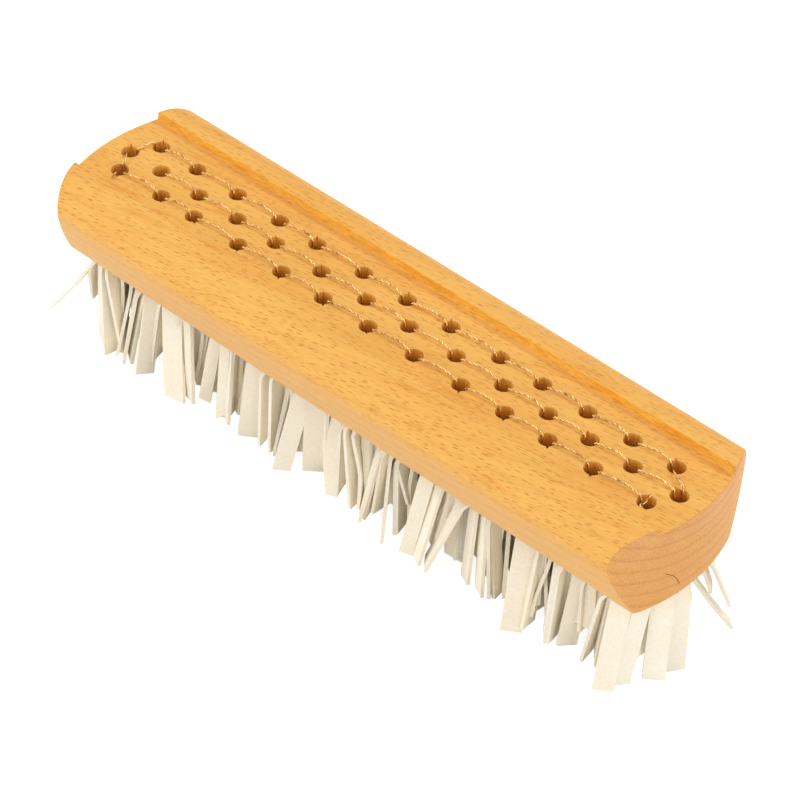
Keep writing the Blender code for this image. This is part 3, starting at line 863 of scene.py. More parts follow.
@dataclass
class PictureCamera:
    """The camera at the photograph's viewing angle."""

    aim: Triple = (0.02522, -0.01965, 0.0558)
    azimuth_degrees: float = 40.3
    elevation_degrees: float = 42.23
    roll_degrees: float = 3.00
    distance: float = 0.72615
    focal_pixels: float = 3327.58
    picture_pixels: float = 800.0
    sensor_width_millimetres: float = 36.0
    clip_factor: float = 100.0

    def axes(self) -> Arrays:
        """The picture's right and up, and the way from the brush back to the camera."""
        azimuth, elevation = math.radians(self.azimuth_degrees), math.radians(self.elevation_degrees)
        back = np.array(
            (
                math.sin(azimuth) * math.cos(elevation),
                -math.cos(azimuth) * math.cos(elevation),
                math.sin(elevation),
            )
        )
        level = np.array((math.cos(azimuth), math.sin(azimuth), 0))
        above = np.cross(back, level)
        roll = math.radians(self.roll_degrees)
        right = math.cos(roll) * level + math.sin(roll) * above
        up = -math.sin(roll) * level + math.cos(roll) * above
        return right, up, back

    def place(self) -> Array:
        """Where the camera stands."""
        return np.array(self.aim) + self.axes()[2] * self.distance

    def ray(self, pixel: Pair) -> Array:
        """The way from the camera through a pixel of the picture."""
        right, up, back = self.axes()
        middle = self.picture_pixels / 2
        across = (pixel[0] - middle) / self.focal_pixels
        down = (pixel[1] - middle) / self.focal_pixels
        return across * right - down * up - back

    def at_height(self, pixel: Pair, height: float) -> Array:
        """The point behind a pixel that is at a height above the floor."""
        ray, eye = self.ray(pixel), self.place()
        return eye + ray * (height - eye[2]) / ray[2]

    def nearest_to_line(
        self, pixel: Pair, start: Array, end: Array
    ) -> tuple[Array, float]:
        """The point behind a pixel that lies nearest to the straight line between two places.

        With the ray e + s d and the line a + t l, s = (d.l l.g - l.l d.g) / (d.d l.l - (d.l)^2),
        where g = e - a.

        Args:
            pixel: The pixel.
            start: One end of the line.
            end: Its other end.

        Returns:
            The point, and how far the line is from it.
        """
        eye, ray, line = self.place(), unit(self.ray(pixel)), end - start
        gap = eye - start
        both, long, along, beside = ray @ line, line @ line, ray @ gap, line @ gap
        point = eye + ray * (both * beside - long * along) / (long - both**2)
        share = np.clip((point - start) @ line / long, 0, 1)
        return point, float(np.linalg.norm(point - start - line * share))

    def made(self) -> Object:
        """The camera object, set as the scene's camera."""
        lens = bpy.data.cameras.new("picture_camera")
        lens.sensor_width = self.sensor_width_millimetres
        lens.lens = self.focal_pixels * self.sensor_width_millimetres / self.picture_pixels
        lens.clip_start = self.distance / self.clip_factor
        lens.clip_end = self.distance * self.clip_factor
        camera = bpy.data.objects.new("picture_camera", lens)
        bpy.context.scene.collection.objects.link(camera)
        right, up, back = self.axes()
        matrix = np.identity(4)
        matrix[:3, 0], matrix[:3, 1], matrix[:3, 2] = right, up, back
        matrix[:3, 3] = self.place()
        camera.matrix_world = Matrix(matrix.tolist())
        bpy.context.scene.camera = camera
        return camera


@dataclass
class HolePattern:
    """The drilled holes: three rows, the middle one half a pitch out of step with the others."""

    middle_x: float
    bore: float = 0.0043
    pitch: float = 0.01324
    row_spacing: float = 0.00646
    shift: float = -0.0007
    drift_shares: dict[Row, tuple[float, ...]] = field(
        default_factory=lambda: {
            Row.FAR: (0.06, -0.03, -0.03, 0, -0.1, 0, 0.01, 0.01, 0.12, 0.05, 0.03, -0.01, -0.09),
            Row.MIDDLE: (0.26, 0.05, 0, -0.06, -0.13, -0.04, 0.01)
            + (0, 0.06, 0.11, 0.09, -0.02, -0.11, -0.14),
            Row.NEAR: (0, 0.04, -0.15, -0.07, -0.03, -0.04, 0, 0.05, 0.09, 0.06, -0.01, -0.04, 0.07),
        }
    )

    def row_depth(self, row: Row) -> float:
        """How far across the brush a row lies."""
        return {Row.FAR: self.row_spacing, Row.MIDDLE: 0.0, Row.NEAR: -self.row_spacing}[row]

    def centres(self) -> dict[HoleKey, Array]:
        """The (x, y) of each hole, by row and number from the left."""
        found = {}
        for row, drifts in self.drift_shares.items():
            middle = (len(drifts) - 1) / 2
            for number, drift in enumerate(drifts):
                x = self.middle_x + (number - middle + drift) * self.pitch + self.shift
                found[row, number] = np.array((x, self.row_depth(row)))
        return found

    def centre(self, key: HoleKey) -> Array:
        """The (x, y) of one hole."""
        return self.centres()[key]


@dataclass
class BeechBack:
    """The beech bar: one section with a shallow channel, bowed ends and drilled holes."""

    lowest: Array
    highest: Array
    holes: HolePattern
    channel_width: float = 0.027
    channel_depth: float = 0.002
    lip_land: float = 0.0014
    arris_drop: float = 0.0056
    shoulder_power: float = 2.2
    bevel_power: float = 0.74
    underside_width: float = 0.0352
    underside_chamfer: float = 0.0016
    end_bow: float = 0.0063
    end_round: float = 0.0006
    wall_slope: float = 0.0001
    wall_round: float = 0.00016
    shoulder_points: int = 46
    floor_points: int = 6
    floor_share: float = 0.92
    round_points: int = 4
    wall_reach_share: float = 0.8
    end_steps: int = 6
    stations: int = 25
    cap_rows: int = 12
    bore_sides: int = 72
    rim_round: float = 0.00024
    notch_reach: float = 0.0008
    notch_width_degrees: float = 5.0
    notch_depth: float = 0.0022
    notch_scatter_degrees: float = 7.0
    notch_sizes: Pair = (0.2, 1.2)
    cutter_overrun: float = 0.001
    sharp_degrees: float = 28.0
    seed: int = 5

    def floor_z(self) -> float:
        """Height of the channel's floor."""
        return self.highest[2] - self.channel_depth

    def half_length(self, y: Array, inset: float) -> Array:
        """How far the bowed end reaches from the middle: half - R + sqrt(R^2 - y^2)."""
        corner = self.highest[1]
        radius = (corner**2 + self.end_bow**2) / (2 * self.end_bow)
        half = (self.highest[0] - self.lowest[0]) / 2
        return half - inset - radius + np.sqrt(radius**2 - y**2)

    def section(self, inset: float) -> Arrays:
        """Half the section from the channel's middle outwards, drawn in by an inset all round.

        The top is the channel's floor, its step, the lip, and a shoulder on a rounded oval:
        y = land + (arris - land) sin(t)^(2/n), z = arris height + rise cos(t)^(2/n). The foot is
        the flat underside, its chamfer z = under + chamfer u^2, and the bevel out to the arris,
        z = arris height - drop s^m, with s the share of the way in from the arris.

        Args:
            inset: How far the outline is drawn in.

        Returns:
            y, the height of the top, and the height of the foot.
        """
        channel = self.channel_width / 2 + inset
        floor, lip = self.floor_z() - inset, self.highest[2] - inset
        land = channel + self.lip_land
        arris = self.highest[1] - inset
        arris_z = self.floor_z() - self.arris_drop
        turn = np.linspace(0, math.pi / 2, self.shoulder_points)
        oval = 2 / self.shoulder_power
        out, up = np.sin(turn) ** oval, np.clip(np.cos(turn), 0, 1) ** oval
        quarter = np.linspace(0, math.pi / 2, self.round_points)
        soft = self.wall_round
        lower_wall = channel - self.wall_slope
        upper_wall = channel + self.wall_slope
        y = np.concatenate(
            (
                np.linspace(0, self.floor_share, self.floor_points) * channel,
                lower_wall - soft + soft * np.sin(quarter),
                upper_wall + soft - soft * np.cos(quarter),
                land + (arris - land) * out,
            )
        )
        top = np.concatenate(
            (
                np.full(self.floor_points, floor),
                floor + soft - soft * np.cos(quarter),
                lip - soft + soft * np.sin(quarter),
                arris_z + (lip - arris_z) * up,
            )
        )
        foot_half = self.underside_width / 2 - inset
        chamfer = self.underside_chamfer
        under = self.lowest[2] + inset
        inward = np.clip((arris - y) / (arris - foot_half), 0, 1)
        bevel = arris_z - (arris_z - under - chamfer) * inward**self.bevel_power
        outward = np.clip((y - foot_half + chamfer) / chamfer, 0, 1)
        foot = np.where(y >= foot_half, bevel, under + chamfer * outward**2)
        return y, top, foot

    def ring(self, inset: float, reach: float) -> Arrays:
        """The whole outline of the section as one loop, with where its end lies along X.

        Args:
            inset: How far the outline is drawn in.
            reach: How far short of the bowed end the loop stops.

        Returns:
            x from the middle, y and z, from the near arris over the top and back underneath.
        """
        y, top, foot = self.section(inset)
        ys = np.concatenate((-y[::-1], y[1:]))
        tops = np.concatenate((top[::-1], top[1:]))
        feet = np.concatenate((foot[::-1], foot[1:]))
        loop_y = np.concatenate((ys, ys[-2:0:-1]))
        loop_z = np.concatenate((tops, feet[-2:0:-1]))
        return self.half_length(loop_y, reach), loop_y, loop_z

    def bands(self, rows: int) -> Array:
        """Which band each face of the bar's skin belongs to, row by row along X.

        The outer half of each rounded end edge, and all of it at the step, is end grain.

        Args:
            rows: How many rows of faces there are.

        Returns:
            One number a face.
        """
        y, _, _ = self.section(0)
        across = np.concatenate((-y[::-1], y[1:]))
        middle = np.abs(across[1:] + across[:-1]) / 2
        reach = self.wall_slope + self.wall_round * self.wall_reach_share
        wall = np.abs(middle - self.channel_width / 2) < reach
        upper = np.where(wall, Band.STEP.value, Band.PLANED.value)
        loop = np.concatenate((upper, np.full(len(middle), Band.PLANED.value)))
        slots = np.tile(loop, (rows, 1))
        from_end = np.minimum(np.arange(rows), np.arange(rows)[::-1])[:, None]
        rounded = from_end < self.end_steps - 1
        outer = from_end < self.end_steps // 2
        slots[outer | (rounded & (slots == Band.STEP.value))] = Band.END_GRAIN.value
        return slots.ravel()

    def loops(self) -> Array:
        """The section's loops from one end to the other, rounded over at each end.

        At an end the loop is drawn in by r (1 - cos t) and stops r (1 - sin t) short of the bow.

        Returns:
            The points, one row a loop.
        """
        turns = np.linspace(math.pi / 2, 0, self.end_steps)
        soft = self.end_round
        middle_x = (self.lowest[0] + self.highest[0]) / 2
        ends = [self.ring(soft * (1 - math.cos(turn)), soft * (1 - math.sin(turn))) for turn in turns]
        left = [np.stack((middle_x - x, y, z), axis=1) for x, y, z in ends]
        right = [np.stack((middle_x + x, y, z), axis=1) for x, y, z in ends[::-1]]
        x, y, z = self.ring(0, soft)
        shares = np.linspace(-1, 1, self.stations)[1:-1, None]
        along = middle_x + shares * x
        between = np.stack(np.broadcast_arrays(along, y, z), axis=2)
        return np.concatenate((np.stack(left), between, np.stack(right)))

    def body(self, materials: list[Material]) -> Object:
        """The bar before it is drilled: its skin and two caps, with the grain's own places.

        Args:
            materials: The finishes, in the order of the bands.

        Returns:
            The bar.
        """
        grid = self.loops()
        count, around = grid.shape[:2]
        girth = self.girth()
        corners = self.grain_corners(count, around)
        uv = np.stack((grid[corners[:, 0], corners[:, 1] % around, 0], girth[corners[:, 1]]), axis=1)
        cap_points, cap_faces = self.caps(grid)
        points = np.concatenate((grid.reshape(-1, 3), cap_points))
        cap_uv = points[np.concatenate([np.array(face) for face in cap_faces])][:, 1:]
        skin = quad_grid(count, around)[:, ::-1].tolist()
        ends = np.full(len(cap_faces), Band.END_GRAIN.value)
        slots = np.concatenate((self.bands(count - 1), ends))
        name = "beech_back_surface"
        thing = made_object(name, points, skin + cap_faces, materials, slots, self.sharp_degrees)
        layer = thing.data.uv_layers.new(name="grain")
        layer.data.foreach_set("uv", np.concatenate((uv.ravel(), cap_uv.ravel())))
        return thing

    def girth(self) -> Array:
        """Distance round the section from its near arris, with the loop's own start at its end."""
        _, y, z = self.ring(0, 0)
        steps = np.hypot(np.diff(y, append=y[:1]), np.diff(z, append=z[:1]))
        return np.concatenate(((0,), np.cumsum(steps)))

    def grain_corners(self, rows: int, columns: int) -> Array:
        """Row and column of each corner of each face, in the order of the turned faces."""
        row = np.repeat(np.arange(rows - 1), columns)
        column = np.tile(np.arange(columns), rows - 1)
        corners = [(row, column), (row, column + 1), (row + 1, column + 1), (row + 1, column)]
        return np.stack([np.stack(pair, axis=-1) for pair in corners[::-1]], axis=1).reshape(-1, 2)

    def caps(self, grid: Array) -> tuple[Array, list[list[int]]]:
        """The two end faces: columns between the top and the foot, all on the bowed surface.

        A point is top (1 - s) + foot s. The outermost columns shrink to the arris, so their
        faces have three corners.

        Args:
            grid: The loops' points, whose first and last rows the caps close.

        Returns:
            New points, and the faces.
        """
        around = grid.shape[1]
        across = around // 2 + 1
        top = np.arange(across)
        foot = (around - top) % around
        shares = np.linspace(0, 1, self.cap_rows + 1)[1:-1, None, None]
        blocks, faces = [], []
        start = grid.shape[0] * around
        for row, way in ((0, -1), (grid.shape[0] - 1, 1)):
            inner = grid[row, top[1:-1]] * (1 - shares) + grid[row, foot[1:-1]] * shares
            numbers = np.empty((self.cap_rows + 1, across), dtype=int)
            numbers[:, 0], numbers[:, -1] = row * around, across - 1 + row * around
            numbers[0], numbers[-1] = top + row * around, foot + row * around
            numbers[1:-1, 1:-1] = start + np.arange(inner.size // 3).reshape(inner.shape[:2])
            start += inner.size // 3
            blocks.append(inner.reshape(-1, 3))
            upper, lower = numbers[:-1], numbers[1:]
            quads = np.stack((upper[:, 1:-2], upper[:, 2:-1], lower[:, 2:-1], lower[:, 1:-2]), axis=-1)
            near = np.stack((upper[:, 0], upper[:, 1], lower[:, 1]), axis=-1)
            far = np.stack((upper[:, -2], upper[:, -1], lower[:, -2]), axis=-1)
            for kind in (quads.reshape(-1, 4), near, far):
                faces += kind[:, ::way].tolist()
        return np.concatenate(blocks), faces

    def notch_turn(self, row: Row) -> float:
        """Degrees round a hole at which the drawn wire has split the wood."""
        return {Row.FAR: 130.0, Row.MIDDLE: 142.0, Row.NEAR: -58.0}[row]

    def cutter(self, row: Row, centre: Array, chance: np.random.Generator) -> Array:
        """The rings of one hole's cutter, from below the bar to above its channel.

        The radius is r = bore / 2 + rim(z) + notch(angle, z), where rim is a quarter round at the
        floor, and notch is reach * exp(-(angle / width)^2), fading with depth.

        Args:
            row: The row that the hole is in.
            centre: The hole's middle, (x, y).
            chance: Where the notch's small differences come from.

        Returns:
            The points, one row a ring.
        """
        floor, rim, over = self.floor_z(), self.rim_round, self.cutter_overrun
        turns = np.linspace(0, 2 * math.pi, self.bore_sides, endpoint=False)
        quarter = np.linspace(0, math.pi / 2, self.round_points)
        ladder = (self.notch_depth * 1.5, self.notch_depth, self.notch_depth / 2, rim * 3)
        below = floor - np.array(ladder)
        round_off = floor - rim + rim * np.sin(quarter)
        heights = np.concatenate(((self.lowest[2] - over,), below, round_off, (floor + over,)))
        flare = np.concatenate((np.zeros(1 + len(ladder)), rim * (1 - np.cos(quarter)), (rim,)))
        fade = np.clip(1 - (floor - heights) / self.notch_depth, 0, 1)
        at = self.notch_turn(row) + chance.normal(0, self.notch_scatter_degrees)
        apart = (np.degrees(turns) - at + 180) % 360 - 180
        size = self.notch_reach * chance.uniform(*self.notch_sizes)
        swell = size * np.exp(-((apart / self.notch_width_degrees) ** 2))
        reach = self.holes.bore / 2 + flare[:, None] + fade[:, None] * swell
        flat = np.stack((centre[0] + reach * np.cos(turns), centre[1] + reach * np.sin(turns)), axis=2)
        tall = np.broadcast_to(heights[:, None], reach.shape)
        return np.concatenate((flat, tall[..., None]), axis=2)

    def drill(self, material: Material) -> Object:
        """All the holes' cutters as one mesh.

        Args:
            material: The finish that the holes' walls get.

        Returns:
            The cutters.
        """
        chance = np.random.default_rng(self.seed)
        rings = [self.cutter(row, at, chance) for (row, _), at in self.holes.centres().items()]
        count, around = rings[0].shape[:2]
        sides = quad_grid(count, around)
        ends = np.stack((np.arange(around)[::-1], np.arange(around) + (count - 1) * around))
        starts = np.arange(len(rings))[:, None, None] * count * around
        faces = (sides + starts).reshape(-1, 4).tolist() + (ends + starts).reshape(-1, around).tolist()
        return made_object("drill", np.concatenate(rings).reshape(-1, 3), faces, [material])

    def made(self, materials: list[Material]) -> Object:
        """The drilled back.

        Args:
            materials: The finishes, in the order of the bands.

        Returns:
            The piece.
        """
        body = self.body(materials)
        drill = self.drill(materials[Band.BORE.value])
        cut = body.modifiers.new("drill", "BOOLEAN")
        cut.operation = "DIFFERENCE"
        cut.solver = "EXACT"
        cut.material_mode = "TRANSFER"
        cut.object = drill
        graph = bpy.context.evaluated_depsgraph_get()
        mesh = bpy.data.meshes.new_from_object(body.evaluated_get(graph))
        mesh.set_sharp_from_angle(angle=math.radians(self.sharp_degrees))
        body.modifiers.clear()
        body.data = mesh
        bpy.data.objects.remove(drill)
        return body


@dataclass
class DrawWire:
    """The twisted pair of brass strands: down each hole, under the fold and up again."""

    holes: HolePattern
    floor_z: float
    lip_z: float
    clear_sides: int = 16
    fit_gap: float = 0.0001
    diameter: float = 0.0006
    strand_diameter: float = 0.00027
    lay_length: float = 0.003
    loose_spread: float = 2.4
    loose_reach_share: float = 0.42
    loop_depth: float = 0.0105
    crown_roof: float = 0.0012
    bow: float = 0.00055
    lift: float = 0.00035
    bow_skew: float = 1.35
    end_depth: float = 0.0035
    tail_length: float = 0.0018
    slack_place: Pair = (0.0013, 0.0017)
    curl_turns: tuple[float, ...] = (-76.0, -110.0, -150.0, -154.0, 150.0)
    curl_reaches: tuple[float, ...] = (0.0013, 0.0015, 0.0011, 0.0007, 0.0005)
    curl_depths: tuple[float, ...] = (0.0016, 0.0006, 0.001, 0.0012, 0.0006)
    free_end_lean: float = 0.0014
    right_side: float = -12.0
    left_side: float = 175.0
    stub_side: float = -18.0
    crown_turn: float = 20.0
    corner_bow_share: float = 0.25
    bow_shares: tuple[float, ...] = (0.12, 0.25, 0.4, 0.55, 0.7, 0.82, 0.92)
    never_along: Triple = (0.5, 0.8, 0.35)
    corner_rounds: int = 3
    step: float = 0.00024
    strand_sides: int = 8
    smooth_degrees: float = 70.0

    def radius(self) -> float:
        """Half the pair's overall thickness."""
        return self.diameter / 2

    def clear(self) -> float:
        """How far the pair's middle keeps from the wood."""
        return self.radius() + self.fit_gap

    def bore_radius(self) -> float:
        """The radius that is clear inside a hole."""
        return self.holes.bore / 2 * math.cos(math.pi / self.clear_sides)

    def sides(self, row: Row, number: int) -> Pair:
        """Degrees round the hole at which the wire arrives and leaves, in its route's order."""
        corners = {
            (Row.MIDDLE, 13): (self.left_side, 110.0),
            (Row.FAR, 12): (-70.0, self.left_side),
            (Row.FAR, 0): (self.right_side, 190.0),
            (Row.MIDDLE, 0): (60.0, -76.0),
            (Row.NEAR, 0): (110.0, -72.0),
        }
        usual = (self.left_side, self.right_side)
        return corners.get((row, number), usual[::-1] if row is Row.FAR else usual)

    def loop_turn(self, row: Row, number: int) -> float:
        """Angle of the run under the fold, shared evenly between the two sides."""
        arrive, leave = self.sides(row, number)
        across = (leave - (arrive - 180) + 180) % 360 - 180
        return math.radians(arrive - 180 + across / 2)

    def around(self, centre: Array, turn: float, radius: float, z: float) -> Array:
        """The point at an angle and a distance from a hole's middle."""
        return np.array((centre[0] + radius * math.cos(turn), centre[1] + radius * math.sin(turn), z))

    def over_rim(self, centre: Array, turn: float) -> list[Array]:
        """The bend from the channel's floor down the wall of the hole.

        Args:
            centre: The hole's middle.
            turn: The side of the hole, in radians.

        Returns:
            Two points, and on the left side a third, where the wire hangs slack below the rim.
        """
        short = self.clear() * math.tan(math.pi / 8)
        bore = self.bore_radius()
        points = [
            self.around(centre, turn, bore - short, self.floor_z + self.clear()),
            self.around(centre, turn, bore - self.clear(), self.floor_z + short),
        ]
        if math.isclose(turn, math.radians(self.left_side)):
            points.append(self.around(centre, turn, *self.hang(*self.slack_place)))
        return points

    def hang(self, reach: float, depth: float) -> Pair:
        """A distance from a hole's middle with the height of a depth below the floor."""
        return reach, self.floor_z - depth

    def under_fold(self, centre: Array, turn: float) -> list[Array]:
        """The run below the fold, from beside the crown on one side to beside it on the other.

        Args:
            centre: The hole's middle.
            turn: The way of the run, in radians.

        Returns:
            Six points.
        """
        clear = self.clear()
        short = clear * math.tan(math.pi / 8)
        loop_z = self.floor_z - self.loop_depth
        crown_half = self.bore_radius() - self.diameter - 2 * self.fit_gap
        crown_top = loop_z + clear + self.crown_roof
        side = [
            (crown_half + clear, crown_top + clear),
            (crown_half + clear, loop_z + clear - short),
            (crown_half + short, loop_z),
        ]
        arriving = [self.around(centre, turn + math.pi, reach, z) for reach, z in side]
        leaving = [self.around(centre, turn, reach, z) for reach, z in reversed(side)]
        return arriving + leaving

    def needs_crown_point(self, turn: float, side: float) -> bool:
        """Whether the wire must swing round the crown to reach a side."""
        apart = abs((turn - side + math.pi) % (2 * math.pi) - math.pi)
        return apart > math.radians(self.crown_turn)

    def through_hole(self, key: HoleKey) -> list[Array]:
        """The wire's points in one hole, from rim to rim.

        Args:
            key: The hole.

        Returns:
            The points.
        """
        centre = self.holes.centre(key)
        arrive, leave = (math.radians(side) for side in self.sides(*key))
        turn = self.loop_turn(*key)
        run = self.under_fold(centre, turn)
        if not self.needs_crown_point(turn + math.pi, arrive):
            run = run[1:]
        if not self.needs_crown_point(turn, leave):
            run = run[:-1]
        return self.over_rim(centre, arrive) + run + self.over_rim(centre, leave)[::-1]

    def stretch(self, start: Array, end: Array, bow: float) -> list[Array]:
        """Points between two holes: flat at the left, springing up before the hole on the right.

        The swell is sin(pi s^k), with s the share of the way from the left-hand hole.

        Args:
            start: Where the wire leaves one hole.
            end: Where it comes to the next.
            bow: How far it swings out sideways.

        Returns:
            The points in between.
        """
        share = np.array(self.bow_shares)
        rightwards = start[0] < end[0]
        if not rightwards:
            share = 1 - share[::-1]
        from_left = share if rightwards else 1 - share
        swell = np.sin(math.pi * from_left**self.bow_skew)
        sideways = np.stack((np.zeros_like(share), bow * swell, self.lift * swell), axis=1)
        return list(start + (end - start) * share[:, None] + sideways)

    def route(self, keys: list[HoleKey]) -> list[Array]:
        """The points through a run of holes, one after another."""
        points = self.through_hole(keys[0])
        for last, following in zip(keys, keys[1:]):
            further = self.through_hole(following)
            bow = self.bow if last[0] is following[0] else self.bow * self.corner_bow_share
            points += self.stretch(points[-1], further[0], bow) + further
        return points

    def long_points(self) -> Array:
        """From inside the second middle hole, right, back along the far row and to the near one."""
        shares = self.holes.drift_shares
        middle = [(Row.MIDDLE, number) for number in range(1, len(shares[Row.MIDDLE]))]
        far = [(Row.FAR, number) for number in reversed(range(len(shares[Row.FAR])))]
        keys = middle + far + [(Row.MIDDLE, 0), (Row.NEAR, 0)]
        points = self.route(keys)
        turn = math.radians(self.sides(*keys[-1])[1])
        outwards = np.array((math.cos(turn), math.sin(turn), 0))
        tail = points[-1] + outwards * self.tail_length
        return np.array(points[2:] + [tail])

    def near_points(self) -> Array:
        """From a stub in the first near hole to the free end that stands up in the last."""
        count = len(self.holes.drift_shares[Row.NEAR])
        keys = [(Row.NEAR, number) for number in range(1, count)]
        points = self.route(keys)
        first = self.holes.centre((Row.NEAR, 0))
        turn = math.radians(self.stub_side)
        wall = self.bore_radius() - self.clear()
        stub = [self.around(first, turn, wall, self.floor_z - self.end_depth)]
        stub += self.over_rim(first, turn)[::-1]
        last = self.holes.centre(keys[-1])
        curl = [
            self.around(last, math.radians(turn), *self.hang(reach, depth))
            for turn, reach, depth in zip(self.curl_turns, self.curl_reaches, self.curl_depths)
        ]
        curl.append(self.around(last, math.pi / 2, self.free_end_lean, self.lip_z - self.diameter))
        return np.array(stub + self.stretch(stub[-1], points[0], self.bow) + points[:-2] + curl)

    def loose_places(self) -> list[tuple[Array, float]]:
        """Where the two strands run side by side, untwisted, with half the length of each place."""
        places = []
        for one, other in (((Row.MIDDLE, 13), (Row.FAR, 12)), ((Row.MIDDLE, 0), (Row.NEAR, 0))):
            start, end = (self.holes.centre(key) for key in (one, other))
            middle = np.array((*(start + end) / 2, self.floor_z))
            places.append((middle, float(np.linalg.norm(end - start)) * self.loose_reach_share))
        return places

    def looseness(self, path: Array) -> Array:
        """How far the pair has come untwisted at each sample: 1 - eased(distance / half - 1/2)."""
        shares = [
            1 - eased(np.linalg.norm(path - middle, axis=1) / half * 2 - 1)
            for middle, half in self.loose_places()
        ]
        return np.max(shares, axis=0)

    def made(self, name: str, points: Array, material: Material) -> Object:
        """Two round strands laid round each other along a path.

        A strand's middle is path + offset (cos a first + sin a second), where a grows by 2 pi over
        each lay, except where the pair is loose, and the other strand is half a turn on. Its skin
        is a ring of points round that middle. The two ways square to the path come from its cross
        product with a way that it never takes.

        Args:
            name: The piece's name.
            points: The path's corners.
            material: What it is made of.

        Returns:
            The piece.
        """
        path = evenly_spaced(corner_cut(points, self.corner_rounds), self.step)
        ways = unit(np.gradient(path, axis=0))
        first = unit(np.cross(ways, self.never_along))
        second = np.cross(ways, first)
        loose = self.looseness(path)
        rate = (1 - loose) * 2 * math.pi / self.lay_length
        steps = np.linalg.norm(np.diff(path, axis=0, prepend=path[:1]), axis=1)
        turn = np.cumsum(rate * steps)
        offset = (self.diameter - self.strand_diameter) / 2 * (1 + loose * (self.loose_spread - 1))
        ring = np.linspace(0, 2 * math.pi, self.strand_sides, endpoint=False)
        skin = np.cos(ring)[:, None] * first[:, None] + np.sin(ring)[:, None] * second[:, None]
        out = np.cos(turn)[:, None] * first + np.sin(turn)[:, None] * second
        tubes = [
            (path + side * offset[:, None] * out)[:, None] + skin * self.strand_diameter / 2
            for side in (1, -1)
        ]
        count, around = len(path), self.strand_sides
        closing = [list(range(around))[::-1], list(range((count - 1) * around, count * around))]
        one = quad_grid(count, around).tolist() + closing
        other = [[corner + count * around for corner in face] for face in one]
        everything = np.concatenate(tubes).reshape(-1, 3)
        return made_object(name, everything, one + other, [material], None, self.smooth_degrees)


@dataclass(frozen=True)
class SeenStrip:
    """One strip that shows in the picture, by the pixels where it comes out and where it ends."""

    out: Pair
    tip: Pair
    height: float
    face: float
    wide: float = 1.0
    slant: float = 0.0
    by: Pair | None = None
    row: Row | None = None


